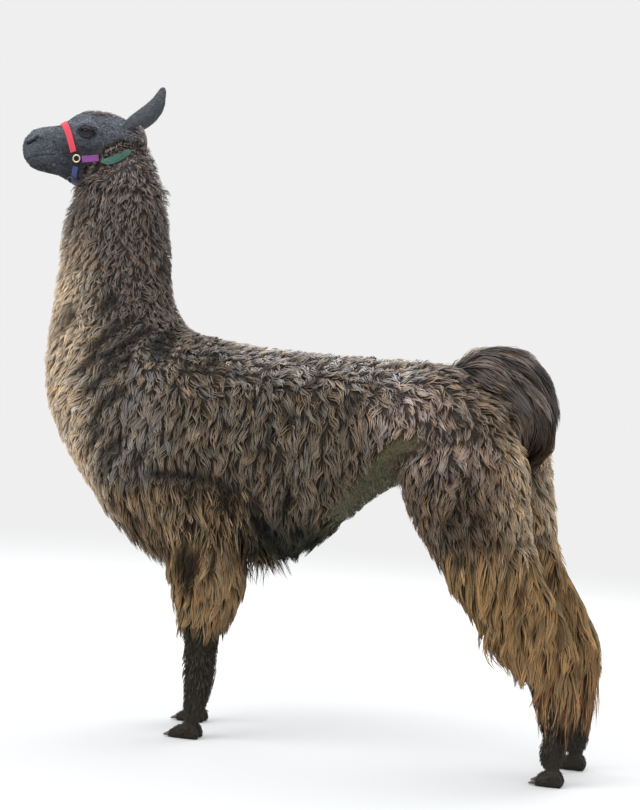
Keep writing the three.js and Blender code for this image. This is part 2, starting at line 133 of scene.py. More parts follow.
def makeStudio():
    v = studioValues
    world = bpy.data.worlds.new("paleRoom")
    world.use_nodes = True
    tree = world.node_tree
    place, parts = addNode(tree, "ShaderNodeTexCoord"), addNode(tree, "ShaderNodeSeparateXYZ")
    rise = addNode(tree, "ShaderNodeMapRange", {"From Min": v["skyRise"][0], "From Max": v["skyRise"][1]})
    sky = addNode(tree, "ShaderNodeMix", {"A": v["paper"], "B": v["zenith"]}, data_type="RGBA")
    wire(
        tree, (place, "Generated", parts, "Vector"), (parts, "Z", rise, "Value"),
        (rise, "Result", sky, "Factor"), (sky, "Result", tree.nodes["Background"], "Color"),
    )
    bpy.context.scene.world = world
    bpy.context.scene.view_settings.view_transform = "Standard"

    mesh = bpy.data.meshes.new("floor")
    bm = bmesh.new()
    bmesh.ops.create_circle(bm, cap_ends=True, segments=96, radius=v["floorRadius"])
    bm.to_mesh(mesh)
    bm.free()
    newObject("floor", mesh)
    finish = {"Base Color": v["floorPaint"], "Roughness": 0.9, "Specular IOR Level": 0.1}
    material, tree, shader = newMaterial("palePaper", finish)
    glow = addNode(tree, "ShaderNodeEmission", {"Color": v["paper"]})
    place = addNode(tree, "ShaderNodeTexCoord")
    length = addNode(tree, "ShaderNodeVectorMath", operation="LENGTH")
    reach = {"From Min": v["fadeStart"], "From Max": v["fadeEnd"]}
    fade = addNode(tree, "ShaderNodeMapRange", reach, interpolation_type="SMOOTHSTEP")
    mix = addNode(tree, "ShaderNodeMixShader")
    wire(
        tree, (place, "Object", length, 0), (length, "Value", fade, "Value"), (fade, "Result", mix, "Fac"),
        (shader, "BSDF", mix, 1), (glow, "Emission", mix, 2),
        (mix, "Shader", tree.nodes["Material Output"], "Surface"),
    )
    mesh.materials.append(material)

    for name in ("key", "back"):
        light = bpy.data.lights.new(name + "Light", "AREA")
        light.energy, light.size = v[name + "Power"], v[name + "Size"]
        lamp = newObject(name + "Light", light)
        lamp.location = v[name + "Place"]
        lamp.rotation_euler = (Vector((0, 0, 0.9)) - lamp.location).to_track_quat("-Z", "Y").to_euler()


makeStudio()
print("camera, floor and lights")

# Meshes as arrays of points and triangles.


def arraysFromBmesh(bm, swell=0.0):
    bm.verts.index_update()
    points = np.array([v.co + v.normal * swell for v in bm.verts])
    faces = np.array([[v.index for v in f.verts] for f in bm.faces])
    bm.free()
    return points, faces


def nodeArrays(name, swell=0.0):        # a frame node as merged points and triangles
    bm = bmesh.new()
    bm.from_mesh(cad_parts[name].data)
    bmesh.ops.remove_doubles(bm, verts=bm.verts, dist=2e-5)
    bmesh.ops.triangulate(bm, faces=bm.faces)
    bm.normal_update()
    return arraysFromBmesh(bm, swell)


def joinArrays(parts):
    points, faces, start = [], [], 0
    for p, f in parts:
        points.append(p)
        faces.append(f + start)
        start += len(p)
    return np.concatenate(points), np.concatenate(faces)


def meshFromArrays(name, points, faces, smooth=True):
    mesh = bpy.data.meshes.new(name)
    mesh.vertices.add(len(points))
    mesh.vertices.foreach_set("co", np.asarray(points, np.float32).ravel())
    mesh.loops.add(3 * len(faces))
    mesh.loops.foreach_set("vertex_index", np.asarray(faces, np.int32).ravel())
    mesh.polygons.add(len(faces))
    mesh.polygons.foreach_set("loop_start", np.arange(0, 3 * len(faces), 3, dtype=np.int32))
    mesh.polygons.foreach_set("use_smooth", np.full(len(faces), smooth))
    mesh.update(calc_edges=True)
    return mesh


def arraysFromMesh(mesh):
    mesh.calc_loop_triangles()
    points = np.empty(3 * len(mesh.vertices), np.float32)
    mesh.vertices.foreach_get("co", points)
    faces = np.empty(3 * len(mesh.loop_triangles), np.int32)
    mesh.loop_triangles.foreach_get("vertices", faces)
    return points.reshape(-1, 3).astype(float), faces.reshape(-1, 3)


def evaluatedMesh(piece):
    depsgraph = bpy.context.evaluated_depsgraph_get()
    return bpy.data.meshes.new_from_object(piece.evaluated_get(depsgraph), depsgraph=depsgraph)


def withModifier(points, faces, kind, settings, other=None):
    work = [newObject("work", meshFromArrays("work", points, faces))]
    modifier = work[0].modifiers.new(kind, kind)
    for key, value in settings.items():
        setattr(modifier, key, value)
    if other is not None:
        work.append(newObject("other", meshFromArrays("other", *other)))
        modifier.object = work[1]
    result = arraysFromMesh(evaluatedMesh(work[0]))
    for piece in work:
        bpy.data.objects.remove(piece)
    return result


def unit(vectors):
    return vectors / np.maximum(np.linalg.norm(vectors, axis=-1, keepdims=True), 1e-12)


def pointNormals(points, faces):
    a, b, c = (points[faces[:, k]] for k in range(3))
    flat = np.cross(b - a, c - a)
    total = np.zeros_like(points)
    for k in range(3):
        total += np.stack([np.bincount(faces[:, k], flat[:, axis], len(points)) for axis in range(3)], 1)
    return unit(total)


def spread(faces, values, times, keep=0.0):     # evens out values over neighbouring points
    values = np.asarray(values, float)
    flat = values.reshape(len(values), -1)
    start, end = faces.T.ravel(), faces[:, [1, 2, 0]].T.ravel()
    count = np.maximum(np.bincount(end, minlength=len(flat)), 1)[:, None]
    now = flat.copy()
    for _ in range(times):
        total = np.stack([np.bincount(end, now[start, k], len(flat)) for k in range(flat.shape[1])], 1)
        now = total / count * (1 - keep) + now * keep
    return now.reshape(values.shape)


def largestShell(points, faces):
    label = np.arange(len(points))
    while True:
        low = np.minimum.reduce([label[faces[:, k]] for k in range(3)])
        new = label.copy()
        for k in range(3):
            np.minimum.at(new, faces[:, k], low)
        new = new[new]
        if (new == label).all():
            break
        label = new
    main = np.bincount(label[faces[:, 0]]).argmax()
    kept = label == main
    renumber = np.cumsum(kept) - 1
    return points[kept], renumber[faces[kept[faces[:, 0]]]]


# The head's own frame, read from the two eyes.


def boxMiddle(node):
    low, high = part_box(node)
    return (np.array(low) + np.array(high)) / 2


eyeInHead = np.array([-0.076, 0.0, 0.051])          # midway between the eyes, from the head's origin
eyeSide = 0.047
eyeRadius = 0.0205
leftEye, rightEye = boxMiddle("eye_left"), boxMiddle("eye_right")
sideways = unit(rightEye - leftEye)
headTurn = math.atan2(-sideways[0], sideways[1])
headAxes = np.array([
    [math.cos(headTurn), math.sin(headTurn), 0],
    [-math.sin(headTurn), math.cos(headTurn), 0],
    [0, 0, 1],
])
headOrigin = (leftEye + rightEye) / 2 - eyeInHead @ headAxes


def toHead(points):
    return (points - headOrigin) @ headAxes.T


def fromHead(points):
    return points @ headAxes + headOrigin


def ramp(x, low, high):                 # 0 below low, 1 above high, smooth between
    t = np.clip((x - low) / (high - low), 0, 1)
    return t * t * (3 - 2 * t)


# The skin under the coat.

skinValues = {
    "outerVoxel": 0.0060,
    "bodyVoxel": 0.0105,
    "headVoxel": 0.0020,
    "legVoxel": 0.0031,
    "swell": 0.0006,        # closes the gaps between the nodes
    "headShare": 0.45,      # share of faces kept
    "legShare": 0.35,
    "rounds": 6,            # of sinking the skin below the coat
    "step": 0.0075,         # deepest move of one round
    "headRounds": 5,
    "headStep": 0.0062,
}

sides = ("left", "right")
legSets = {"foreleg": ("upper", "cannon", "foot"), "hindleg": ("thigh", "shank", "cannon", "foot")}
fleshNodes = ["trunk", "neck", "tail", "head", "ear_left", "ear_right"]
fleshNodes += [f"{leg}_{side}_{piece}" for leg in legSets for side in sides for piece in legSets[leg]]

coatDepth = {       # metres from the skin to the tips of the coat
    "trunk": 0.024, "neck": 0.022, "tail": 0.042, "head": 0.003, "ear": 0.0015,
    "upper": 0.028, "thigh": 0.028, "shank": 0.032, "cannon": 0.006, "foot": 0.0022,
}
regions = list(coatDepth)


def kindOf(name):
    if name.startswith("ear"):
        return "ear"
    return name.split("_")[-1] if "leg" in name else name


def swollen(names):
    return [nodeArrays(name, skinValues["swell"]) for name in names]


fleshParts = swollen(fleshNodes)
fleshPoints, fleshFaces = joinArrays(fleshParts)
fleshKind = np.concatenate([
    np.full(len(part[1]), regions.index(kindOf(name))) for name, part in zip(fleshNodes, fleshParts)
])
fleshTree = BVHTree.FromPolygons(fleshPoints.tolist(), fleshFaces.tolist())


def nearest(tree, points):
    spots, hits = [], []
    for p in points.tolist():
        place, _, hit, _ = tree.find_nearest(p)
        spots.append(place[:])
        hits.append(hit)
    return np.array(spots), np.array(hits)


def remeshed(parts, voxel):
    points, faces = joinArrays(parts)
    points, faces = withModifier(points, faces, "REMESH", {"mode": "VOXEL", "voxel_size": voxel})
    return largestShell(points, faces)


# The outside of all the flesh as one surface, to measure the coat's depth from.
outerParts = fleshParts + swollen(("eye_left", "eye_right"))
outerPoints, outerFaces = remeshed(outerParts, skinValues["outerVoxel"])
outerTree = BVHTree.FromPolygons(outerPoints.tolist(), outerFaces.tolist())
outerKind = fleshKind[nearest(fleshTree, outerPoints)[1]][outerFaces[:, 0]]


def regionOf(points):       # index in regions of the flesh nearest to each point
    return outerKind[nearest(outerTree, points)[1]]


def boxArrays(low, high):
    ends = np.array([low, high])
    corners = np.array([[ends[i, 0], ends[j, 1], ends[k, 2]] for i in (0, 1) for j in (0, 1) for k in (0, 1)])
    quads = [(0, 1, 3, 2), (4, 6, 7, 5), (0, 4, 5, 1), (2, 3, 7, 6), (0, 2, 6, 4), (1, 5, 7, 3)]
    faces = [t for a, b, c, d in quads for t in ((a, b, c), (a, c, d))]
    return corners, np.array(faces)


def combined(operation, first, second):
    return withModifier(*first, "BOOLEAN", {"operation": operation, "solver": "MANIFOLD"}, second)


def cropped(name, low, high):       # the part of a node inside a box
    return combined("INTERSECT", *swollen((name,)), boxArrays(low, high))


def relaxed(points, faces, times):      # smooths and keeps the volume
    for _ in range(times):
        points = spread(faces, points, 1, 0.4)
        points = points + (points - spread(faces, points, 1, 0.4)) * 1.02
    return points


def sunkShell(parts, voxel, depthAt, rounds, step):
    # moves the surface inwards a little at a time and meshes it afresh, so that it never folds
    points, faces = remeshed(parts, voxel)
    points = relaxed(points, faces, 8)
    for _ in range(rounds):
        spots, hits = nearest(outerTree, points)
        short = depthAt(points, outerKind[hits]) - np.linalg.norm(points - spots, axis=1)
        move = spread(faces, np.clip(short, 0, step), 2)
        normals = unit(spread(faces, pointNormals(points, faces), 2))
        points, faces = withModifier(
            points - normals * move[:, None], faces, "REMESH", {"mode": "VOXEL", "voxel_size": voxel})
        points = relaxed(points, faces, 2)
    return largestShell(points, faces)


depthTable = np.array([coatDepth[k] for k in regions])


flankEdge = ((0.08, 0.15, 0.30), (0.585, 0.685, 0.865))      # x and z along the bare flank's upper edge


def bareFlank(points):      # 1 on the thinly haired skin between belly and thigh
    x, _, z = points.T
    edge = np.interp(x, (*flankEdge[0], 0.40), (*flankEdge[1], 0.87))
    low = np.interp(x, [0.10, 0.22, 0.34], [0.600, 0.565, 0.530])
    between = ramp(x, 0.10, 0.14) * (1 - ramp(x, 0.36, 0.40))
    return ramp(edge - z, -0.01, 0.012) * between * ramp(z - low, 0, 0.012)


def bodyDepth(points, kinds):
    x, _, z = points.T
    trunk, tail = (kinds == regions.index(name) for name in ("trunk", "tail"))
    depth = depthTable[kinds]
    depth = depth + trunk * 0.020 * ramp(0.60 - z, 0, 0.07) * ramp(x, -0.30, -0.20)      # the belly's fringe
    depth = depth + tail * 0.016 * ramp(0.96 - z, 0, 0.10)
    return np.where(trunk & (bareFlank(points) > 0.5), 0.004, depth)


def bodyShell():
    v = skinValues
    parts = swollen(n for n in fleshNodes if kindOf(n) not in ("head", "ear", "cannon", "foot"))
    return sunkShell(parts, v["bodyVoxel"], bodyDepth, v["rounds"], v["step"])


legDepths = {       # height above the floor, depth of the coat there
    "foreleg": ([0, 0.02, 0.06, 0.12, 0.19, 0.26, 0.31, 0.36, 0.41],
                [0.0010, 0.0022, 0.0030, 0.005, 0.009, 0.015, 0.026, 0.034, 0.040]),
    "hindleg": ([0, 0.02, 0.06, 0.12, 0.19, 0.26, 0.31, 0.38],
                [0.0010, 0.0022, 0.0030, 0.005, 0.012, 0.026, 0.036, 0.044]),
}


def legShell(leg, side):
    name = f"{leg}_{side}_"
    upper = legSets[leg][-3]
    low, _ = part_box(name + upper)
    parts = swollen((name + "cannon", name + "foot"))
    parts.append(cropped(name + upper, (-2, -1, 0), (2, 1, low[2] + 0.08)))

    middle = np.mean(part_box(name + "cannon"), axis=0)[0]

    def depthAt(points, kinds):
        depth = np.interp(points[:, 2], *legDepths[leg])
        if leg == "hindleg":        # locks hang behind the cannon
            height = ramp(points[:, 2], 0.07, 0.13) * ramp(0.30 - points[:, 2], 0, 0.06)
            depth = depth + 0.014 * height * ramp(points[:, 0] - middle, 0.0, 0.025)
        return depth

    v = skinValues
    shell = sunkShell(parts, v["legVoxel"], depthAt, v["rounds"], v["step"])
    return withModifier(*shell, "DECIMATE", {"ratio": v["legShare"]})


def headShell():
    near = fromHead(np.array([[0.10, 0, -0.02]]))[0]
    parts = swollen(("head", "eye_left", "eye_right"))
    parts.append(cropped("neck", near - (0.2, 0.2, 0.10), near + (0.2, 0.2, 0.3)))

    def depthAt(points, kinds):
        throat = (kinds == regions.index("neck")) * ramp(near[2] - points[:, 2], -0.02, 0.06)
        return depthTable[kinds] + 0.008 * throat

    v = skinValues
    points, faces = sunkShell(parts, v["headVoxel"], depthAt, v["headRounds"], v["headStep"])
    return withModifier(sculptHead(points, faces), faces, "DECIMATE", {"ratio": v["headShare"]})


headValues = {
    "lidThickness": 0.0022,
    "creaseDepth": 0.0024,
    "browRise": 0.0030,
    "nostrilDepth": 0.008,
    "mouthDepth": 0.0022,
    "lipRise": 0.0016,
}

# Lines in the head's side view, metres forward of and above the head's origin.
eyeCorners = ((-0.0215, 0.0015), (0.0185, -0.0045))
nostrilLine = ((-0.241, 0.009), (-0.232, 0.014), (-0.224, 0.020), (-0.215, 0.028))
mouthLine = ((-0.262, -0.036), (-0.240, -0.033), (-0.224, -0.026), (-0.191, -0.018), (-0.161, -0.016))


def lineDistance(points, line):     # distance to a line in the side view, and the side it lies on
    best = np.full(len(points), 9.0)
    above = np.zeros(len(points))
    for a, b in zip(line[:-1], line[1:]):
        a, b = np.array(a), np.array(b)
        t = np.clip(((points - a) @ (b - a)) / ((b - a) @ (b - a)), 0, 1)
        away = points - a - t[:, None] * (b - a)
        far = np.hypot(away[:, 0], away[:, 1])
        closer = far < best
        best = np.where(closer, far, best)
        above = np.where(closer, away[:, 1], above)
    return best, above


def eyeShape(side):     # over the opening between the lids: below 1 inside, above 1 outside
    front, rear = np.array(eyeCorners[0]), np.array(eyeCorners[1])
    middle, half = (front + rear) / 2, np.linalg.norm(rear - front) / 2
    way = (rear - front) / np.linalg.norm(rear - front)
    u = ((side - middle) @ way) / half
    v = (side - middle) @ np.array([-way[1], way[0]])
    arch = np.sqrt(np.clip(1 - u * u, 0, 1))
    upper, lower = 0.0095 * arch ** 0.85, 0.0080 * arch ** 1.2
    edge = np.where(v > 0, upper, lower)
    past = np.maximum(np.abs(u) - 1, 0) * half
    return np.abs(v) - edge + past, v


def gauss(x, width):
    return np.exp(-(x / width) ** 2)


def sculptHead(points, faces):
    v = headValues
    normals = unit(spread(faces, pointNormals(points, faces), 3))
    local = toHead(points)
    sideView = local[:, [0, 2]]
    flank = np.abs(unit(normals) @ headAxes[1])         # 1 where the skin faces sideways
    rise = np.zeros(len(points))

    # nostrils, mouth and the cleft of the upper lip
    far, above = lineDistance(sideView, nostrilLine)
    offCentre = ramp(np.abs(local[:, 1]), 0.006, 0.012)
    rise -= v["nostrilDepth"] * gauss(far, 0.0034) * offCentre
    rise += 0.0030 * gauss(far - 0.0075, 0.004) * offCentre * ramp(above, -0.004, 0.004)
    far, above = lineDistance(sideView, mouthLine)
    rise -= v["mouthDepth"] * gauss(far, 0.0018)
    rise += v["lipRise"] * gauss(far - 0.006, 0.004)
    cleft = gauss(local[:, 1], 0.002) * ramp(-local[:, 0], 0.245, 0.255) * ramp(local[:, 2], -0.034, -0.028)
    rise -= 0.004 * cleft * ramp(0.010 - local[:, 2], 0, 0.01)

    # folds round the eye and over the cheek
    for sign in (-1, 1):
        near = sideView - np.array([eyeInHead[0], eyeInHead[2]])
        gap, over = eyeShape(near)
        own = (np.sign(local[:, 1]) == sign) * ramp(flank, 0.2, 0.5)
        rise -= own * v["creaseDepth"] * gauss(gap - 0.0085, 0.0017) * ramp(over, -0.002, 0.004)
        rise -= own * v["creaseDepth"] * 0.6 * gauss(gap - 0.0150, 0.0024) * ramp(over, -0.001, 0.006)
        rise -= own * v["creaseDepth"] * 0.8 * gauss(gap - 0.0095, 0.0022) * ramp(-over, 0.0, 0.006)
        rise += own * v["browRise"] * gauss(gap - 0.022, 0.008) * ramp(over, 0.004, 0.012)
    cheekFold, _ = lineDistance(sideView, ((-0.150, -0.012), (-0.125, -0.020), (-0.105, -0.040)))
    rise -= 0.0018 * gauss(cheekFold, 0.004)
    snoutFold, _ = lineDistance(sideView, ((-0.205, 0.030), (-0.195, 0.010), (-0.200, -0.010)))
    rise -= 0.0014 * gauss(snoutFold, 0.004)
    points = points + normals * rise[:, None]

    # lids drawn over the eyeballs
    local = toHead(points)
    for sign in (-1, 1):
        centre = eyeInHead + (0, sign * eyeSide, 0)
        away = local - centre
        far = np.linalg.norm(away, axis=1)
        gap, _ = eyeShape(away[:, [0, 2]])
        outer = away[:, 1] * sign > -0.004
        lid = eyeRadius + 0.0006 + v["lidThickness"] * gauss(gap - 0.0020, 0.0034)
        wanted = np.where(gap < 0, eyeRadius - 0.0030, lid)
        hold = 1 - ramp(gap, 0.004, 0.012)
        hold = np.where(far < lid, np.maximum(hold, 1 - ramp(gap, 0.008, 0.02)), hold)
        hold *= outer * (far < eyeRadius + 0.016)
        direction = unit(away)
        local = local + direction * ((wanted - far) * hold)[:, None]
    return fromHead(local)


def earShell(name):     # smooth, with its root reaching into the head
    points, faces = withModifier(*nodeArrays(name), "SUBSURF", {"levels": 2, "render_levels": 2})
    local = toHead(points)
    sign = np.sign(local[0, 1])
    root = 1 - ramp(np.linalg.norm(local - (0.022, 0.040 * sign, 0.076), axis=1), 0.010, 0.030)
    local += root[:, None] * np.array([-0.012, -0.004 * sign, -0.014])
    return fromHead(local), faces


skin = bodyShell()
print("body shell", len(skin[1]))
for legName in legSets:
    for sideName in sides:
        skin = combined("UNION", skin, legShell(legName, sideName))
print("with legs", len(skin[1]))
headSkin = headShell()
print("head shell", len(headSkin[1]))
for sideName in sides:
    headSkin = combined("UNION", headSkin, earShell("ear_" + sideName))
skinPoints, skinFaces = largestShell(*combined("UNION", skin, headSkin))
print("skin", len(skinFaces))

# What the skin knows at each point.

skinNormals = pointNormals(skinPoints, skinFaces)
softNormals = unit(spread(skinFaces, skinNormals, 6))
skinTree = BVHTree.FromPolygons(skinPoints.tolist(), skinFaces.tolist())
regionShare = spread(skinFaces, np.eye(len(regions))[regionOf(skinPoints + skinNormals * 0.004)], 6)


def share(name):
    return regionShare[:, regions.index(name)]


def noise(points, size, seed):      # smooth random values from 0 to 1
    q = points / size + seed * 17.31
    cell = np.floor(q).astype(np.int64)
    f = q - cell
    f = f * f * (3 - 2 * f)
    total = np.zeros(len(points))
    for corner in range(8):
        bits = [(corner >> k) & 1 for k in range(3)]
        c = cell + bits
        h = (c[:, 0] * 73856093) ^ (c[:, 1] * 19349663) ^ (c[:, 2] * 83492791) ^ (seed * 2654435761)
        h = ((h ^ (h >> 13)) * 1274126177) & 0xFFFFFFFF
        h = ((h ^ (h >> 16)) & 0xFFFF) / 65535
        weight = np.prod([f[:, k] if bits[k] else 1 - f[:, k] for k in range(3)], axis=0)
        total += h * weight
    return total


tailHub = (0.50, 0.87)      # x and z that the tail's arch turns about
straightFlows = {       # the lie of the coat where it is the same all over a region
    "neck": (-0.10, 0, -1), "thigh": (0.28, 0, -1), "shank": (0.05, 0, -1), "upper": (0.02, 0, -1),
    "cannon": (0, 0, -1), "foot": (-0.6, 0, -0.7),
}


def flowField():        # the way the coat lies, along the surface
    x, y, z = skinPoints.T

    def constant(v):
        return np.tile(np.array(v, float), (len(x), 1))

    down = constant((0, 0, -1))
    front = ramp(-x, 0.30, 0.62)
    top = ramp(z, 0.86, 1.02) * ramp(x, -0.45, -0.25)
    trunkFlow = down + constant((0.18, 0, 0)) + constant((1.5, 0, -0.1)) * top[:, None]
    trunkFlow += constant((-0.75, 0, 0)) * (front * ramp(z, 0.62, 0.9))[:, None]
    swirl = np.stack([z - tailHub[1], 0 * y, -(x - tailHub[0])], 1)
    flows = {name: constant(way) for name, way in straightFlows.items()}
    flows["trunk"] = trunkFlow
    flows["tail"] = unit(swirl) + down * ramp(x, 0.60, 0.70)[:, None]
    flows["head"] = constant(np.array([1, 0, -0.12]) @ headAxes)
    flows["ear"] = constant(np.array([0.66, 0.0, 0.75]) @ headAxes)
    flow = sum(share(name)[:, None] * unit(flows[name]) for name in regions)
    for _ in range(3):
        flow = flow - softNormals * (flow * softNormals).sum(1, keepdims=True)
        flow = spread(skinFaces, unit(flow), 3, 0.3)
    return flow


skinFlow = flowField()


# Colours of the coat's tips, by region: main, and what some places change to.
tints = {
    "neck": (0.146, 0.117, 0.098), "nape": (0.215, 0.172, 0.158), "throat": (0.62, 0.475, 0.33),
    # frost: partly frost on the wool, partly painted highlight from the bright sky
    "trunk": (0.134, 0.104, 0.075), "frostAndSkyHighlight": (0.36, 0.320, 0.29), "belly": (0.021, 0.022, 0.013),
    "shoulder": (0.185, 0.154, 0.127), "hip": (0.70, 0.54, 0.47),
    "upper": (0.240, 0.155, 0.078), "thigh": (0.127, 0.090, 0.060), "rearThigh": (0.48, 0.355, 0.23),
    "shank": (0.252, 0.155, 0.070), "shankLow": (0.470, 0.252, 0.120),
    "tail": (0.104, 0.086, 0.077), "tailLow": (0.034, 0.022, 0.012),
    # head: the near-black hair lightened to blue-grey by painted sheen from the sky; cheek: the darker tone
    # for the painted shade low on the head and round the eyes
    "head": (0.128, 0.139, 0.164), "cheek": (0.046, 0.049, 0.060), "ear": (0.085, 0.093, 0.105),
    # lips: a painted highlight along the mouth
    "crown": (0.200, 0.155, 0.140), "lips": (0.120, 0.122, 0.134),
    "cannon": (0.040, 0.033, 0.021), "foot": (0.026, 0.021, 0.015), "bare": (0.105, 0.098, 0.050),
}


def rearCannon():       # 1 at the back of the hind cannons' upper part, which the shank's locks cover
    x, _, z = skinPoints.T
    return ramp(x, 0.3, 0.4) * ramp(z, 0.11, 0.17) * ramp(skinNormals[:, 0], -0.15, 0.30)


# Furrows in the fleece of the shoulder and above the elbow, in side view.
furrows = (
    ((-0.467, 1.100), (-0.519, 1.053), (-0.553, 1.008)),
    ((-0.413, 1.068), (-0.534, 0.991), (-0.571, 0.952)),
    ((-0.446, 1.005), (-0.500, 0.944), (-0.554, 0.906)),
    ((-0.429, 0.907), (-0.493, 0.871), (-0.524, 0.810)),
    ((-0.428, 0.789), (-0.490, 0.737)),
    ((-0.335, 0.697), (-0.227, 0.699), (-0.093, 0.684)),
    ((-0.096, 0.663), (-0.060, 0.610), (-0.020, 0.553)),
)


def furrowDepth():
    wander = np.stack([noise(skinPoints, 0.05, 41 + k) - 0.5 for k in range(2)], 1) * 0.022
    side = skinPoints[:, [0, 2]] + wander
    fan = np.abs(skinNormals[:, 1])
    depth = np.max([gauss(lineDistance(side, line)[0], 0.0150) * 1.1 for line in furrows], axis=0)
    return depth * ramp(fan, 0.25, 0.6) * (share("trunk") + share("neck"))


def partings():     # 1 in the dark furrows that run between the clumps, along the lie of the coat
    x, y, z = skinPoints.T
    front = ramp(-x, 0.22, 0.36) * (share("trunk") + share("neck") * ramp(1.25 - z, 0, 0.12))
    upright = noise(np.stack([x / 0.020, y / 0.030, z / 0.085], 1), 1.0, 11)
    bow = 0.35 * (z - 0.93) ** 2
    lean = np.stack([(x * 0.81 - z * 0.58 + bow) / 0.028, y / 0.06, (x * 0.58 + z * 0.81) / 0.15], 1)
    leaning = noise(lean, 1.0, 12)
    value = upright * (1 - front) + (leaning + 0.07) * front
    coarse = noise(skinPoints, 0.085, 13) + 0.2 * front
    depth = ramp(value, 0.62, 0.84) * ramp(coarse, 0.25, 0.65) * (1 - 0.45 * share("thigh"))
    depth *= 1 - 0.8 * ramp(-skinNormals[:, 0], 0.35, 0.7) * ramp(-x, 0.3, 0.4)
    fold = gauss(z - 0.597 - 0.05 * (x - 0.57) - 0.02 * (upright - 0.5), 0.011) * ramp(x, 0.44, 0.52)
    depth = np.maximum(depth, fold * share("thigh") * 0.9)
    depth = np.maximum(depth, np.minimum(furrowDepth(), 1))
    woolly = 1 - share("head") - share("ear") - share("foot") - 0.5 * share("neck") - 0.5 * share("tail")
    return depth * np.clip(woolly + 0.6 * front, 0, 1)


def pollShare():        # 1 at the back of the head, which the neck's wool grows over
    local = toHead(skinPoints)
    return share("head") * ramp(local[:, 0], 0.020, 0.045) * ramp(local[:, 2], 0.0, 0.03)


def bellShare():        # 1 on the long locks over the elbow
    x, _, z = skinPoints.T
    return share("trunk") * ramp(0.705 - z, 0, 0.03) * ramp(-0.05 - x - (0.66 - z) * 0.1, 0, 0.04)


def crownShare():       # 1 at the tousled hair between the ears and the brow
    away = (toHead(skinPoints) - (-0.050, 0, 0.112)) / (0.045, 0.040, 0.022)
    return np.exp(-(away ** 2).sum(1))


def blend(first, second, amount):
    return first + (np.array(second) - first) * np.asarray(amount)[:, None]


# The coat's colours by place, with painted light among them: a painted sky highlight on the back, and painted
# sheen and shade on the head.
def markingsAndPaintedLight():
    x, _, z = skinPoints.T
    colour = {name: np.tile(np.array(tints[name]), (len(x), 1)) for name in regions}

    def shift(region, tint, amount):
        colour[region] = blend(colour[region], tints[tint], amount)

    facing = -skinNormals[:, 0]
    shift("neck", "throat", ramp(facing, -0.12, 0.50) * ramp(1.42 - z, 0, 0.25))
    shift("neck", "nape", ramp(z, 1.36, 1.46) * ramp(-facing, -0.5, 0.3) * 0.8)
    shift("trunk", "shoulder", ramp(-x, 0.25, 0.40))
    chest = ramp(facing, -0.02, 0.52) * ramp(-x, 0.42, 0.58)
    shift("trunk", "throat", chest * 0.9)
    hip = gauss(np.hypot(x - 0.41, z - 0.96), 0.13)
    shift("trunk", "hip", hip)
    shift("thigh", "hip", hip)
    # the upward-facing back turns lighter grey: partly frost on the wool, partly painted highlight from the
    # bright sky above
    shift("trunk", "frostAndSkyHighlight", ramp(skinNormals[:, 2], 0.45, 0.95) * ramp(x, -0.38, -0.10) * 0.8)
    shift("trunk", "upper", bellShare() * 0.65 * (1 - chest))
    shift("trunk", "belly", ramp(0.67 - z, 0, 0.08) * ramp(x, -0.13, -0.06))
    shift("trunk", "bare", bareFlank(skinPoints))
    rear = ramp(skinNormals[:, 0], 0.15, 0.75) * ramp(z, 0.5, 0.62)
    shift("thigh", "rearThigh", rear * 0.9)
    shift("trunk", "rearThigh", rear * ramp(x, 0.4, 0.5) * 0.7)
    shift("trunk", "thigh", ramp(x, 0.25, 0.40) * 0.8)
    shift("thigh", "shank", ramp(0.60 - z, 0, 0.06) * 0.7)
    shift("shank", "shankLow", ramp(0.36 - z, 0, 0.10) * 0.6)
    shift("cannon", "shankLow", rearCannon() * 0.55)
    shift("tail", "tailLow", ramp(x, 0.53, 0.61) * ramp(1.07 - z, 0, 0.12))
    shift("upper", "cannon", ramp(0.36 - z, 0, 0.04) * 0.7)

    local = toHead(skinPoints)
    sideView = local[:, [0, 2]]
    # Lighter blue-grey on top, near black low on the head, on the jaw and round the eyes: painted sky sheen
    # above, painted shade below.
    low = ramp(0.050 - local[:, 2], 0, 0.05) * ramp(local[:, 0], -0.20, -0.12)
    jaw = ramp(-0.025 - local[:, 2], 0, 0.03) * 0.7
    gap, _ = eyeShape(sideView - eyeInHead[[0, 2]])
    socket = (1 - ramp(gap, 0.004, 0.020)) * ramp(np.abs(local[:, 1]), 0.02, 0.035)
    shift("head", "crown", crownShare())
    shift("head", "nape", pollShare() * 0.8)
    shift("head", "cheek", np.clip(np.maximum(low, jaw) + 0.85 * socket, 0, 1))
    # a lighter band along each lip beside the mouth line: painted highlight on the lips' rims
    lips, _ = lineDistance(sideView, mouthLine)
    shift("head", "lips", gauss(lips - 0.0055, 0.0025) * 0.55)
    nostril, _ = lineDistance(sideView, nostrilLine)
    # darker in the nostrils and along the mouth line: painted shade in the openings
    colour["head"] *= (1 - 0.85 * gauss(nostril, 0.004) - 0.5 * gauss(lips, 0.002))[:, None]
    mottleAndSkySheen = 0.71 + 0.32 * noise(skinPoints, 0.006, 21) + 0.25 * noise(skinPoints, 0.020, 22)
    # faces turned up lighter: painted sheen from the sky above, over the random mottling
    mottleAndSkySheen *= 0.78 + 0.45 * ramp(skinNormals[:, 2], 0.1, 0.8)
    colour["head"] *= mottleAndSkySheen[:, None]
    return sum(share(name)[:, None] * colour[name] for name in regions)


# The skin makes way for the crown strap, and so do the locks.
strapRoom = {"bare": 0.008, "sunk": 0.007, "from": 0.014, "thin": (0.010, 0.036)}
crownTree = BVHTree.FromPolygons(*(a.tolist() for a in nodeArrays("halter_crown")))


def crownDistance(points):
    return np.linalg.norm(points - nearest(crownTree, points)[0], axis=1)


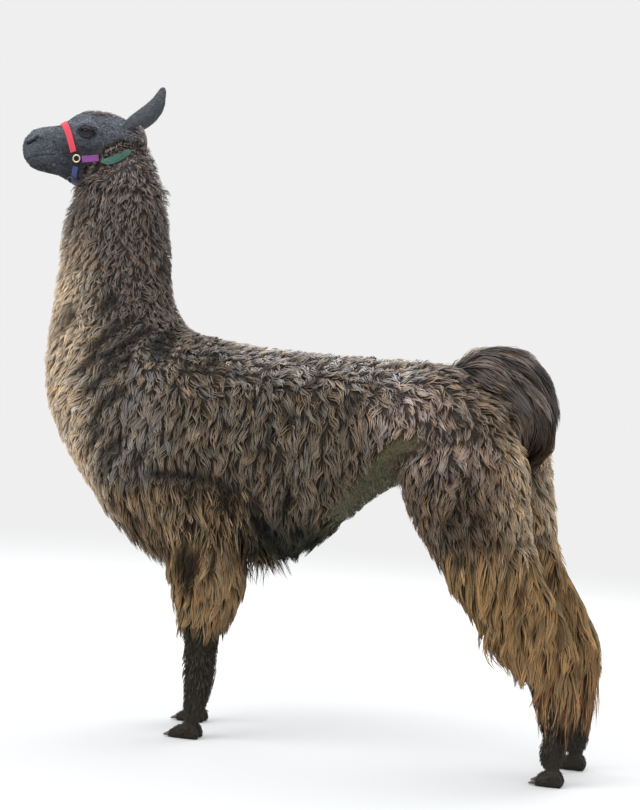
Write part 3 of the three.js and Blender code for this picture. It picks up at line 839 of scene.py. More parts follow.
crownRoom = ramp(strapRoom["from"] - crownDistance(skinPoints), 0, 0.010)
skinPoints = skinPoints - softNormals * (strapRoom["sunk"] * crownRoom)[:, None]

skinTint = markingsAndPaintedLight()
skinParting = partings()
print("flow and markings")

# The coat: tapered locks in clumps, laid along the flow.

coatLook = {        # by region, in the order of lookNames; close is the share of lying close
    "neck": (0.034, 0.0030, 0.80, 0.015, 0.60, 0.0036, 0.9, 0.36, 0.20),
    "trunk": (0.058, 0.0036, 0.82, 0.024, 0.74, 0.0042, 0.9, 0.26, 0.45),
    "tail": (0.150, 0.0034, 0.70, 0.028, 0.72, 0.0034, 0.7, 0.10, 0.90),
    "head": (0.0090, 0.0014, 0.85, 0.007, 0.5, 0.0003, 0.5, 0.28, 1.00),
    "ear": (0.0065, 0.0012, 1.0, 0.006, 0.2, 0.0002, 0.5, 0.15, 0.50),
    "upper": (0.090, 0.0036, 0.42, 0.026, 0.84, 0.0050, 0.9, 0.16, 0.35),
    "thigh": (0.054, 0.0034, 0.75, 0.024, 0.70, 0.0038, 0.8, 0.28, 0.20),
    "shank": (0.110, 0.0036, 0.42, 0.027, 0.86, 0.0050, 0.9, 0.14, 0.30),
    "cannon": (0.022, 0.0030, 0.75, 0.011, 0.60, 0.0010, 0.7, 0.20, 0.60),
    "foot": (0.0095, 0.0022, 0.9, 0.007, 0.4, 0.0004, 0.5, 0.20, 0.30),
}
# gaps: how much painted shade darkens the roots and the under-layer, and how widely the clumps' and locks'
# tones vary
lookNames = ("length", "width", "close", "clump", "pull", "crimp", "waves", "ruffle", "gaps", "lift")
lookTable = np.array([(*coatLook[name], 1.0) for name in regions])
lookField = {key: regionShare @ lookTable[:, k] for k, key in enumerate(lookNames)}


def adjustLook():
    x, _, z = skinPoints.T

    def adjust(where, gaps=0, **shares):        # 0.2 makes it a fifth larger where the share is 1
        lookField["gaps"] += gaps * where
        for key, amount in shares.items():
            lookField[key] *= 1 + amount * where

    trunk, neck = share("trunk"), share("neck")
    back = ramp(z, 0.93, 1.03) * trunk * ramp(x, -0.45, -0.3)
    adjust(back, length=-0.42, ruffle=1.2)
    adjust(ramp(0.66 - z, 0, 0.1) * trunk, 0.45, length=0.55, close=-0.6)
    drop = ramp(0.98 - z, 0, 0.12) * ramp(x, 0.54, 0.62) * share("tail")
    adjust(drop, 0.4, length=0.2, close=-0.45)
    bare = bareFlank(skinPoints) * trunk
    adjust(bare, length=-0.86, width=-0.6, crimp=-1)
    adjust(rearCannon() * share("cannon"), 0.4, length=3.2, width=0.2, close=-0.5)
    aboveBare = z - np.interp(x, *flankEdge)
    edgeHair = trunk * ramp(x, 0.06, 0.12) * ramp(0.10 - aboveBare, 0, 0.08)
    rear = ramp(x, 0.05, 0.11) * (1 - ramp(x, 0.28, 0.33))
    fringeRear = trunk * rear * ramp(0.60 - z, 0, 0.05) * (1 - bare)
    adjust(edgeHair * (1 - bare) * (1 - fringeRear), length=-0.35)
    adjust(fringeRear, close=-0.5)
    adjust(ramp(0.60 - z, 0, 0.05) * share("thigh"), length=0.6)
    adjust(neck * ramp(z, 1.46, 1.52), length=-0.42, crimp=-0.3)
    adjust(trunk * ramp(-x, 0.22, 0.34), -0.25, length=-0.22)
    bell = bellShare()
    adjust(bell, 0.4, length=0.45, close=-0.25)
    adjust(bell * ramp(0.60 - z, 0, 0.08), length=0.3, close=-0.4)
    adjust(neck * ramp(-skinNormals[:, 0], 0.1, 0.6), width=-0.25, close=-0.15)
    poll, crown = pollShare(), share("head") * crownShare()
    lookField["length"] += 0.018 * poll
    lookField["width"] += 0.0012 * poll
    adjust(crown, length=3.0, close=-0.7, ruffle=2.5)
    lookField["lift"] *= 1 + 3.5 * crown + 1.5 * poll


adjustLook()

allAlong = (-9, 9)
coatPieces = {      # regions, stretch along x, spacing, rings, random seed, slot
    "coatNeck": (("neck",), allAlong, 0.0052, 3, 1, "neck_wool"),
    "coatChest": (("trunk",), (-9, -0.34), 0.0065, 3, 2, "fleece"),
    "coatBarrel": (("trunk",), (-0.34, 0.03), 0.0066, 3, 3, "fleece"),
    "coatRump": (("trunk",), (0.03, 9), 0.0066, 3, 4, "fleece"),
    "coatForelegs": (("upper",), allAlong, 0.0058, 4, 5, "leg_wool"),
    "coatThighs": (("thigh",), allAlong, 0.0060, 3, 6, "leg_wool"),
    "coatShanks": (("shank",), allAlong, 0.0058, 4, 7, "leg_wool"),
    "coatTail": (("tail",), allAlong, 0.0046, 5, 8, "tail_hair"),
    "coatHead": (("head", "ear"), allAlong, 0.0032, 2, 9, "short_hair"),
    "coatFeet": (("cannon", "foot"), allAlong, 0.0068, 3, 10, "short_hair"),
}
lockValues = {
    "mostFaces": 184000,        # in one coat
    "softness": 0.55,           # how far the locks' shading follows the skin below
    "root": 0.0015,             # how deep the locks start under the skin
    "reach": (0.70, 1.06),      # random shares of the depth, length, width and pull
    "length": (0.72, 1.18),
    "width": (0.75, 1.25),
    "pull": (0.6, 1.25),
    "mostTurn": 1.2,
    # under, rootShade, tipShade and furrowShade paint light and shade into the locks: the under-layer, the
    # roots and the partings darker as painted shade in the coat's depths, the tips lighter as painted light
    "under": (0.12, 0.30),      # share of short dark locks between the rest, and more in the gaps
    "rootShade": (0.42, -0.24),     # likewise
    "tipShade": 1.10,
    "furrowShade": 0.93,
}
skinMain = regionShare.argmax(1)


def atFaces(field, hits):
    return field[skinFaces[hits]].mean(1)


def rootsOn(names, stretch, spacing, rng):
    wanted = np.isin(skinMain[skinFaces[:, 0]], [regions.index(n) for n in names])
    middle = skinPoints[skinFaces].mean(1)
    wanted &= (middle[:, 0] >= stretch[0]) & (middle[:, 0] < stretch[1])
    faces = np.nonzero(wanted)[0]
    a, b, c = (skinPoints[skinFaces[faces, k]] for k in range(3))
    area = np.linalg.norm(np.cross(b - a, c - a), axis=1) / 2
    count = int(area.sum() / spacing ** 2 * 2.2)
    pick = np.searchsorted(np.cumsum(area), (np.arange(count) + rng.random(count)) / count * area.sum())
    pick = np.minimum(pick, len(faces) - 1)
    r, s = np.sqrt(rng.random(count))[:, None], rng.random(count)[:, None]
    places = a[pick] * (1 - r) + b[pick] * r * (1 - s) + c[pick] * r * s
    order = rng.permutation(count)
    cells = np.floor(places[order] / spacing).astype(np.int64)
    keys = (cells[:, 0] * 4099 + cells[:, 1]) * 4099 + cells[:, 2]
    _, first = np.unique(keys, return_index=True)
    kept = order[first]
    return places[kept], faces[pick[kept]]


def grow(roots, hits, rings, reach, length, close, turn):      # the middle line of each lock
    step = (length / rings)[:, None]
    cosine, sine = np.cos(turn)[:, None], np.sin(turn)[:, None]

    def way(hits, normals):
        flow = unit(atFaces(skinFlow, hits))
        return flow * cosine + np.cross(normals, flow) * sine

    normals = atFaces(softNormals, hits)
    flow = way(hits, normals)
    path = [roots - normals * lockValues["root"]]
    sides = [normals]
    heading = unit(flow + normals * np.clip(reach / length * 1.5, 0.1, 1.2)[:, None])
    down = np.array([0, 0, -1.0])
    for k in range(1, rings + 1):
        t = k / rings
        q = path[-1] + heading * step
        spots, hits = nearest(skinTree, q)
        normals = atFaces(softNormals, hits)
        height = ((q - spots) * normals).sum(1)
        goal = reach * math.sin(math.pi / 2 * min(1, 1.1 * t)) * (1 - 0.6 * atFaces(skinParting, hits))
        goal = height + (goal - height) * close
        goal = np.maximum(goal, 0.15 * reach * t + 0.0008)
        q = q + normals * (goal - height)[:, None]
        flow = way(hits, normals)
        free = unit(heading * 0.45 + down * 0.65)
        heading = unit(flow * close[:, None] + free * (1 - close)[:, None])
        path.append(q)
        sides.append(normals)
    return np.stack(path, 1), np.stack(sides, 1)


def nearestOf(points, centres):
    tree = KDTree(len(centres))
    for k, c in enumerate(centres.tolist()):
        tree.insert(c, k)
    tree.balance()
    return np.array([tree.find(p)[1] for p in points.tolist()])


def reachAt(roots, hits):      # how far the tips stand off: to the outside of the frame's solids
    normals = atFaces(softNormals, hits)
    usual = regionShare @ np.array([coatDepth[name] for name in regions])
    usual = atFaces(usual, hits)
    found = []
    for p, n, limit in zip(roots.tolist(), normals.tolist(), (usual * 2.2).tolist()):
        place, _, _, far = outerTree.ray_cast(p, n, limit)
        found.append(limit / 2.2 if place is None else far)
    return np.clip(np.array(found), usual * 0.4, usual * 1.7)


def lockMesh(path, normals, width):     # three-sided tapered solids along the paths
    count, points = path.shape[:2]
    rings = points - 1
    along = np.empty_like(path)
    along[:, 1:-1] = path[:, 2:] - path[:, :-2]
    along[:, 0] = path[:, 1] - path[:, 0]
    along[:, -1] = path[:, -1] - path[:, -2]
    across = unit(np.cross(along, normals))
    outward = unit(np.cross(across, along))
    t = np.arange(rings) / rings
    half = (width[:, None] * (0.65 + 1.4 * t - 1.9 * t * t) / 2)[:, :, None]
    middle, b, n = path[:, :rings], across[:, :rings], outward[:, :rings]
    ring = np.stack([middle - b * half, middle + b * half, middle + n * half * 0.9], 2)
    verts = np.concatenate([ring.reshape(count, rings * 3, 3), path[:, -1:]], 1)
    own = np.stack([-b - n * 0.5, b - n * 0.5, n * 1.2], 2).reshape(count, rings * 3, 3)
    own = np.concatenate([own, outward[:, -1:]], 1)
    skinWay = np.concatenate([np.repeat(normals[:, :rings], 3, axis=1), normals[:, -1:]], 1)
    shading = unit(unit(own) * (1 - lockValues["softness"]) + skinWay * lockValues["softness"])
    faces = [(0, 1, 2)]
    for k in range(rings - 1):
        for j in range(3):
            p, q = 3 * k + j, 3 * k + (j + 1) % 3
            faces += [(p, q + 3, q), (p, p + 3, q + 3)]
    last = 3 * (rings - 1)
    faces += [(last + j, 3 * rings, last + (j + 1) % 3) for j in range(3)]
    perLock = 3 * rings + 1
    every = (np.array(faces)[None] + (np.arange(count) * perLock)[:, None, None]).reshape(-1, 3)
    return verts, every, np.append(np.repeat(t, 3), 1.0), shading


def patches(roots, kind):       # a place of its own on the unwrap for each lock
    x, y, z = roots.T
    if kind in ("coatChest", "coatRump", "coatHead"):
        middle = roots.mean(0)
        u = np.arctan2(z - middle[2], y)
        v = np.arctan2(np.hypot(y, z - middle[2]), x - middle[0])
    elif kind == "coatTail":
        v = np.arctan2(z - tailHub[1], x - tailHub[0])
        u = np.arctan2(y, np.hypot(x - tailHub[0], z - tailHub[1]) - 0.16)
    elif kind == "coatBarrel":
        u, v = np.arctan2(z - 0.80, y), x
    elif kind == "coatNeck":
        u, v = np.arctan2(y, x + 0.60 - 0.12 * (1.2 - z)), z
    else:
        leg = (y > 0) * 2 + (x > 0.2)
        u, v = np.zeros(len(x)), z
        for k in range(4):
            own = leg == k
            if own.any():
                mid = np.interp(z[own], *legLine(roots[own]))
                u[own] = np.arctan2(y[own] - y[own].mean(), x[own] - mid) + 7 * k
    rows = max(1, int(math.sqrt(len(x))))
    order = np.argsort(v)
    place = np.empty((len(x), 2))
    for row, members in enumerate(np.array_split(order, rows)):
        members = members[np.argsort(u[members])]
        place[members, 0] = (np.arange(len(members)) + 0.5) / len(members)
        place[members, 1] = (row + 0.5) / rows
    return 0.004 + place * 0.992


def legLine(points):        # the middle of a leg at each height
    low, high = points[:, 2].min(), points[:, 2].max()
    levels = np.linspace(low, high, 9)
    middles = [points[np.abs(points[:, 2] - v) <= (high - low) / 10 + 1e-6, 0].mean() for v in levels]
    return levels, middles


def makeCoat(name):
    names, stretch, spacing, rings, seed, slotName = coatPieces[name]
    v = lockValues
    rng = np.random.default_rng(seed)
    roots, hits = rootsOn(names, stretch, spacing, rng)
    clear = crownDistance(roots) > strapRoom["bare"]
    roots, hits = roots[clear], hits[clear]
    most = v["mostFaces"] // (6 * (rings - 1) + 4)
    if len(roots) > most:
        kept = np.sort(rng.permutation(len(roots))[:most])
        roots, hits = roots[kept], hits[kept]
    count = len(roots)
    look = {key: atFaces(lookField[key], hits) for key in lookNames}
    reach = reachAt(roots, hits)
    under = (rng.random(count) < v["under"][0] + v["under"][1] * look["gaps"]) * 1.0
    reach = reach * look["lift"] * rng.uniform(*v["reach"], count) * (1 - 0.35 * under)
    length = look["length"] * rng.uniform(*v["length"], count) * (1 - 0.25 * under)
    length = length * (1 - 0.45 * atFaces(skinParting, hits))
    strapShare = 1 - ramp(crownDistance(roots), *strapRoom["thin"])       # the halter parts the wool
    length = length * (1 - 0.82 * strapShare)
    reach = reach * (1 - 0.65 * strapShare)

    # each lock turns with its clump and leans to the clump's lead lock
    clumpSize = np.median(look["clump"])
    cells = np.floor(roots / clumpSize).astype(np.int64)
    _, leads = np.unique((cells[:, 0] * 4099 + cells[:, 1]) * 4099 + cells[:, 2], return_index=True)
    wander = np.stack([noise(roots, clumpSize * 1.7, 30 + seed + k) - 0.5 for k in range(3)], 1) * clumpSize
    clump = nearestOf(roots + wander, roots[leads])
    turn = look["ruffle"] * (rng.normal(0, 1, len(leads))[clump] + rng.normal(0, 0.6, count))
    turn = np.clip(turn, -v["mostTurn"], v["mostTurn"])
    path, normals = grow(roots, hits, rings, reach, length, look["close"], turn)
    t = np.arange(rings + 1) / rings
    pull = (look["pull"] * rng.uniform(*v["pull"], count))[:, None] * t ** 1.2
    path = path + (path[leads][clump] - path) * np.minimum(pull, 0.92)[:, :, None]

    # waves along the lock, shared by its clump
    phase = rng.uniform(0, 2 * math.pi, len(leads))[clump] + rng.uniform(-0.5, 0.5, count)
    along = unit(np.diff(path, axis=1, append=2 * path[:, -1:] - path[:, -2:-1]))
    across = unit(np.cross(along, normals))
    turn = 2 * math.pi * look["waves"][:, None] * t + phase[:, None]
    swing = look["crimp"][:, None] * np.minimum(t * 2.5, 1)
    path = path + across * (np.sin(turn) * swing)[:, :, None]
    path = path + normals * (np.cos(turn * 1.1) * swing * 0.35)[:, :, None]

    _, below = nearest(skinTree, path.reshape(-1, 3))
    furrow = atFaces(skinParting, below).reshape(count, rings + 1)

    # colour: the skin's colours, darker at the roots and lighter at the tips, partly the wool's own colour
    # and partly painted shade deep in the coat and painted light on the tips, with each clump and lock a
    # little apart
    tint = atFaces(skinTint, hits)
    tone = rng.normal(0, 1, len(leads))[clump] * (0.11 + 0.22 * look["gaps"])
    tone = np.exp(tone + rng.normal(0, 1, count) * (0.10 + 0.12 * look["gaps"]) + 0.05)
    # the short under-layer locks darker: painted shade in the depths between the locks
    tone = tone * (1 - (0.30 + 0.45 * look["gaps"]) * under)
    warm = rng.normal(0, 0.07, count) + rng.normal(0, 0.05, len(leads))[clump]
    tint = tint * tone[:, None] * (1 + warm[:, None] * np.array([1, 0.1, -1.0]))
    width = look["width"] * rng.uniform(*v["width"], count)
    rootShade = v["rootShade"][0] + v["rootShade"][1] * look["gaps"]
    addLocks(name, slotName, path, normals, width, tint, rootShade, furrow, rng)


def addLocks(name, slotName, path, normals, width, tint, rootShade, furrow, rng):
    verts, faces, ringShare, shading = lockMesh(path, normals, width)
    count, rings = len(path), path.shape[1] - 1
    shade = rootShade[:, None]
    shade = shade + (lockValues["tipShade"] - shade) * ramp(ringShare, 0.0, 0.75)[None]
    furrow = np.concatenate([np.repeat(furrow[:, :-1], 3, axis=1), furrow[:, -1:]], 1)
    # darker in the partings, furrows and folds between the clumps: painted shade
    dim = 1 - lockValues["furrowShade"] * furrow
    colour = np.clip(tint[:, None] * (shade * dim)[:, :, None], 0, 1)
    mesh = meshFromArrays(name, verts.reshape(-1, 3), faces)
    colourLayer(mesh, "coatColour", colour.reshape(-1, 3))
    corners = faces.ravel()
    acrossShare = np.append(np.tile([0.0, 1.0, 0.5], rings), 0.5)
    localUv = np.stack([acrossShare, ringShare], 1)
    bake = patches(path[:, 0], name)[:, None] + (localUv - 0.5)[None] * 0.003
    lock = localUv[None] + np.stack([np.arange(count) * 3.7, rng.uniform(0, 50, count)], 1)[:, None]
    for layerName, values in (("OFBake", bake), ("lock", lock)):
        uv = mesh.uv_layers.new(name=layerName)
        uv.data.foreach_set("uv", values.reshape(-1, 2)[corners].astype(np.float32).ravel())
    mesh.normals_split_custom_set_from_vertices(shading.reshape(-1, 3).astype(np.float32))
    mesh.materials.append(coatMaterial)
    print(name, count, "locks", len(faces), "faces")
    addPiece(name, mesh, slotName)


def colourLayer(mesh, name, colours):
    layer = mesh.attributes.new(name, "FLOAT_COLOR", "POINT")
    rgba = np.concatenate([colours, np.ones((len(colours), 1))], 1)
    layer.data.foreach_set("color", rgba.astype(np.float32).ravel())


def addPiece(name, mesh, slotName, *nodes):
    piece = newObject(name, mesh)
    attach(piece, "root")
    if nodes:
        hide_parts(*nodes)


def useColour(tree, name, node, entry):
    wire(tree, (addNode(tree, "ShaderNodeAttribute", attribute_name=name), "Color", node, entry))


def streakedMaterial(name, finish, texture, colour, levels, bump):
    # the texture makes the colour lighter and darker, and gives a fine relief
    material, tree, shader = newMaterial(name, finish)
    kind, inputs, settings = texture
    streaks = addNode(tree, kind, inputs, **settings)
    ends = dict(zip(("From Min", "From Max", "To Min", "To Max"), levels))
    shade = addNode(tree, "ShaderNodeMapRange", ends)
    tone = addNode(tree, "ShaderNodeVectorMath", operation="SCALE")
    relief = addNode(tree, "ShaderNodeBump", {"Strength": bump[0], "Distance": bump[1]})
    if isinstance(colour, str):
        useColour(tree, colour, tone, 0)
    else:
        tone.inputs[0].default_value = colour
    wire(
        tree, (streaks, "Fac", shade, "Value"), (shade, "Result", tone, "Scale"),
        (tone, "Vector", shader, "Base Color"), (streaks, "Fac", relief, "Height"),
        (relief, "Normal", shader, "Normal"),
    )
    return material, tree, streaks


def makeCoatMaterial():
    material, tree, streaks = streakedMaterial(
        "coat", {"Roughness": 0.75, "Specular IOR Level": 0.16},
        ("ShaderNodeTexNoise", {"Scale": 1.6, "Detail": 2.0}, {}), "coatColour",
        (0.3, 0.7, 0.55, 1.35), (0.5, 0.001))
    lock = addNode(tree, "ShaderNodeUVMap", uv_map="lock")
    stretch = addNode(tree, "ShaderNodeMapping", {"Scale": (5.0, 0.9, 1)})
    wire(tree, (lock, "UV", stretch, "Vector"), (stretch, "Vector", streaks, "Vector"))
    return material


coatMaterial = makeCoatMaterial()
for pieceName in coatPieces:
    makeCoat(pieceName)

print("coat")

# Eyes: dark brown, with the level pupil of a llama.
eyeValues = {
    "iris": (0.016, 0.008, 0.004),
    "rim": (0.006, 0.004, 0.003),
    "white": (0.07, 0.05, 0.042),
    "irisRadius": 0.0165,
    "pupilLong": 0.0080,
    "pupilHigh": 0.0032,
    "bulge": 0.045,
}


def makeEyes():
    v = eyeValues
    material, tree, shader = newMaterial("eyeWet", {"Roughness": 0.10, "Specular IOR Level": 0.30})
    useColour(tree, "eyeColour", shader, "Base Color")
    bm = bmesh.new()
    bmesh.ops.create_icosphere(bm, subdivisions=5, radius=eyeRadius)
    ball, faces = arraysFromBmesh(bm)
    for sign, side in ((-1, "left"), (1, "right")):
        axis = unit(np.array([-0.22, sign, 0.06]))
        across = unit(np.array([1, 0.22 * sign, -0.12]))
        up = np.cross(across, axis) * sign * -1
        a, b, c = ball @ across, ball @ up, ball @ axis
        radial = np.hypot(a, b) + (c < 0) * 1.0
        streak = noise(np.stack([np.arctan2(b, a) * 0.02, radial * 0.2, 0 * a], 1), 0.0011, 5)
        colour = np.array(v["iris"]) * (0.55 + 0.9 * streak)[:, None]
        colour = blend(colour, v["rim"], ramp(radial, v["irisRadius"] - 0.003, v["irisRadius"]))
        colour = blend(colour, v["white"], ramp(radial, v["irisRadius"], v["irisRadius"] + 0.0015))
        pupil = ramp(1 - (a / v["pupilLong"]) ** 4 - (b / v["pupilHigh"]) ** 2, -0.1, 0.15) * (c > 0)
        colour = colour * (1 - pupil[:, None] * 0.96)
        bulge = 1 + v["bulge"] * (1 - ramp(radial, 0.006, 0.015)) * (c > 0)
        points = fromHead(ball * bulge[:, None] + eyeInHead + (0, sign * eyeSide, 0))
        mesh = meshFromArrays("eyeball_" + side, points, faces)
        colourLayer(mesh, "eyeColour", colour)
        mesh.materials.append(material)
        addPiece("eyeball_" + side, mesh, "eye", "eye_" + side)


makeEyes()

lashValues = {"length": 0.013, "count": 46, "width": 0.0009, "colour": (0.012, 0.011, 0.011)}


def makeLashes():       # along the upper lids, out and a little down
    v = lashValues
    rng = np.random.default_rng(12)
    paths, ways = [], []
    for sign in (-1, 1):
        share = np.sort(rng.random(v["count"]))
        front, rear = np.array(eyeCorners[0]), np.array(eyeCorners[1])
        side = front + (rear - front) * (0.06 + 0.90 * share)[:, None]
        side[:, 1] += 0.0098 * np.sqrt(np.clip(1 - (2 * share - 1) ** 2, 0, 1)) ** 0.85
        depth = np.sqrt(np.clip((eyeRadius + 0.0012) ** 2 - (side ** 2).sum(1), 1e-6, None))
        root = np.stack([side[:, 0], sign * depth, side[:, 1]], 1)
        out = unit(root)
        fan = (share - 0.5)[:, None] * np.array([0.9, 0, 0])
        way = unit(out * [1, 1, 0] + fan + np.array([-0.10, 0, -0.12]))
        length = v["length"] * (0.7 + 0.5 * rng.random(len(share)))[:, None]
        t = np.linspace(0, 1, 4)[None, :, None]
        drop = np.array([0, 0, -0.35]) * np.sin(t * math.pi / 2) + np.array([0, 0, 0.30]) * t ** 2
        centre = eyeInHead + (0, sign * eyeSide, 0)
        path = root[:, None] + centre + (way[:, None] * t + drop) * length[:, None]
        paths.append(fromHead(path.reshape(-1, 3)).reshape(path.shape))
        ways.append(np.repeat((out @ headAxes)[:, None], 4, axis=1))
    path, normals = np.concatenate(paths), np.concatenate(ways)
    count = len(path)
    tint = np.tile(v["colour"], (count, 1))
    width, rootShade = np.full(count, v["width"]), np.full(count, 0.8)
    addLocks("lashes", "short_hair", path, normals, width, tint, rootShade, np.zeros((count, 4)), rng)


makeLashes()

# The halter: webbing laid where the frame's straps lie, and its rings.
halterValues = {
    "thickness": 0.0024,
    "edge": 0.0009,         # rounding of the webbing's edges
    "stationGap": 0.003,
    "stitchSpacing": 0.0042,
    "stitchLength": 0.0030,
    "stitchThickness": 0.0007,
    "stitchInset": 0.0022,      # from the webbing's edge
}
strapWays = {       # through the head's own frame, one side where the strap goes over
    "halter_noseband": ([(-108, -52, -8), (-126, -46, 34), (-146, -26, 68), (-152, 0, 74)], 0.018, True),
    "halter_chin": ([(-101, -52, -42), (-106, -40, -74), (-108, 0, -92)], 0.016, True),
    "halter_crown": (
        [(-30, -70, -24), (-10, -70, -30), (14, -68, -20), (44, -56, 6), (70, -32, 36), (84, 0, 52)],
        0.013, True,
    ),
    "halter_cheek_left": ([(-84, -62, -24), (-62, -66, -22), (-38, -70, -19)], 0.018, False),
    "halter_cheek_right": ([(-84, 62, -24), (-62, 66, -22), (-38, 70, -19)], 0.018, False),
}
strapColours = {
    "webbing_red": (0.60, 0.018, 0.050), "webbing_blue": (0.018, 0.035, 0.16),
    "webbing_green": (0.035, 0.13, 0.095), "webbing_purple": (0.20, 0.030, 0.22),
}
strapSlots = {
    "halter_noseband": "webbing_red", "halter_chin": "webbing_blue", "halter_crown": "webbing_green",
    "halter_cheek_left": "webbing_purple", "halter_cheek_right": "webbing_purple",
}


def curveThrough(points, count):        # Catmull-Rom
    points = np.array(points, float)
    ends = np.concatenate([[2 * points[0] - points[1]], points, [2 * points[-1] - points[-2]]])
    s = np.linspace(0, len(points) - 1, count)
    k = np.minimum(s.astype(int), len(points) - 2)
    t = (s - k)[:, None]
    p0, p1, p2, p3 = (ends[k + j] for j in range(4))
    square, cube = 2 * p0 - 5 * p1 + 4 * p2 - p3, 3 * p1 - p0 - 3 * p2 + p3
    return 0.5 * (2 * p1 + (p2 - p0) * t + square * t ** 2 + cube * t ** 3)


def smoothLine(values, times):
    for _ in range(times):
        inner = (values[:-2] + 2 * values[1:-1] + values[2:]) / 4
        values = np.concatenate([values[:1], inner, values[-1:]])
    return values


def strapLine(node):        # the middle of the frame's strap, and the way it faces
    way, width, over = strapWays[node]
    if over:
        way = way + [(x, -y, z) for x, y, z in reversed(way)][(1 if way[-1][1] == 0 else 0):]
    rough = curveThrough(np.array(way) / 1000, 90)
    points, faces = nodeArrays(node)
    tree = BVHTree.FromPolygons(toHead(points).tolist(), faces.tolist())
    core = np.stack([np.minimum(rough[:, 0], 0.03), 0 * rough[:, 0], 0 * rough[:, 0] + 0.005], 1)
    line, normals = [], []
    for p, c in zip(rough, core):
        away = unit(p - c)
        place, normal, _, _ = tree.ray_cast(Vector(c + away * 0.2), Vector(-away))
        if place is not None and normal.dot(Vector(away)) > 0.2:
            line.append(place[:])
            normals.append(normal[:])
    line, normals = smoothLine(np.array(line), 6), unit(smoothLine(np.array(normals), 12))
    length = np.concatenate([[0], np.cumsum(np.linalg.norm(np.diff(line, axis=0), axis=1))])
    stations = np.linspace(0, length[-1], int(length[-1] / halterValues["stationGap"]) + 2)
    line = np.stack([np.interp(stations, length, line[:, k]) for k in range(3)], 1)
    normals = unit(np.stack([np.interp(stations, length, normals[:, k]) for k in range(3)], 1))
    return line, normals, stations, width


def makeStrap(node):
    v = halterValues
    line, normals, stations, width = strapLine(node)
    along = unit(np.gradient(line, axis=0))
    across = unit(np.cross(along, normals))
    half, thick, edge = width / 2, v["thickness"], v["edge"]
    profile = [(-half + edge + (width - 2 * edge) * k / 8, 0.0) for k in range(9)]
    profile += [(half - edge * 0.3, -edge * 0.3), (half, -thick / 2), (half - edge, -thick)]
    profile += [(-half + edge, -thick), (-half, -thick / 2), (-half + edge * 0.3, -edge * 0.3)]
    profile = np.array(profile)
    count, size = len(line), len(profile)
    points = line[:, None] + across[:, None] * profile[None, :, :1] + normals[:, None] * profile[None, :, 1:]
    faces = []
    for i in range(count - 1):
        for j in range(size):
            a, b = i * size + j, i * size + (j + 1) % size
            faces += [(a, b, b + size), (a, b + size, a + size)]
    for start, flip in ((0, 1), ((count - 1) * size, -1)):
        for j in range(1, size - 1):
            faces.append((start, start + j + 1, start + j)[::flip])
    faces = np.array(faces)
    mesh = meshFromArrays(node + "_webbing", fromHead(points.reshape(-1, 3)), faces)
    uv = mesh.uv_layers.new(name="webbing")
    flat = np.stack([np.tile(profile[:, 0], count), np.repeat(stations, size)], 1)
    uv.data.foreach_set("uv", (flat[faces.ravel()] * 100).astype(np.float32).ravel())
    slotName = strapSlots[node]
    mesh.materials.append(webbingMaterials[slotName])
    addPiece(node + "_webbing", mesh, slotName, node)
    inset = half - v["stitchInset"]
    rows = [fromHead(line + across * side * inset + normals * 0.0001)[1:-1] for side in (-1, 1)]
    makeStitches(node + "_stitches", rows, slotName, threadMaterials[slotName])


def makeWebbing(name, colour):
    wave = {"Scale": 3.4, "Distortion": 0.6, "Detail Scale": 3.0}
    material, tree, ribs = streakedMaterial(
        name, {"Roughness": 0.6, "Sheen Weight": 0.25},
        ("ShaderNodeTexWave", wave, {"bands_direction": "DIAGONAL"}), colour,
        (0, 1, 0.72, 1.12), (0.6, 0.0006))
    wire(tree, (addNode(tree, "ShaderNodeUVMap", uv_map="webbing"), "UV", ribs, "Vector"))
    return material


def makeThread(name, colour):       # a little lighter than its webbing
    paint = (*(min(1, c * 1.5 + 0.02) for c in colour), 1)
    return newMaterial(name + "_thread", {"Base Color": paint, "Roughness": 0.55})[0]


def stitchTree():       # a row of stitches along a line
    tree = bpy.data.node_groups.new("stitchRow", "GeometryNodeTree")
    sockets = {
        "Line": "Geometry", "Spacing": "Float", "Stitch length": "Float", "Thickness": "Float",
        "Thread": "Material",
    }
    for name, kind in sockets.items():
        tree.interface.new_socket(name, in_out="INPUT", socket_type="NodeSocket" + kind)
    tree.interface.new_socket("Stitches", in_out="OUTPUT", socket_type="NodeSocketGeometry")
    start, end = addNode(tree, "NodeGroupInput"), addNode(tree, "NodeGroupOutput")
    curve = addNode(tree, "GeometryNodeMeshToCurve")
    spots = addNode(tree, "GeometryNodeCurveToPoints", mode="LENGTH")
    bead = addNode(tree, "GeometryNodeMeshIcoSphere", {"Radius": 0.5, "Subdivisions": 2})
    size, shaped = addNode(tree, "ShaderNodeCombineXYZ"), addNode(tree, "GeometryNodeTransform")
    placed = addNode(tree, "GeometryNodeInstanceOnPoints")
    real, painted = addNode(tree, "GeometryNodeRealizeInstances"), addNode(tree, "GeometryNodeSetMaterial")
    wire(
        tree, (start, "Line", curve, "Mesh"), (curve, "Curve", spots, "Curve"),
        (start, "Spacing", spots, "Length"), (start, "Thickness", size, "X"), (start, "Thickness", size, "Y"),
        (start, "Stitch length", size, "Z"), (size, "Vector", shaped, "Scale"),
        (bead, "Mesh", shaped, "Geometry"),
        (spots, "Points", placed, "Points"), (spots, "Rotation", placed, "Rotation"),
        (shaped, "Geometry", placed, "Instance"), (placed, "Instances", real, "Geometry"),
        (real, "Geometry", painted, "Geometry"), (start, "Thread", painted, "Material"),
        (painted, "Geometry", end, "Stitches"),
    )
    return tree


stitchNodes = stitchTree()


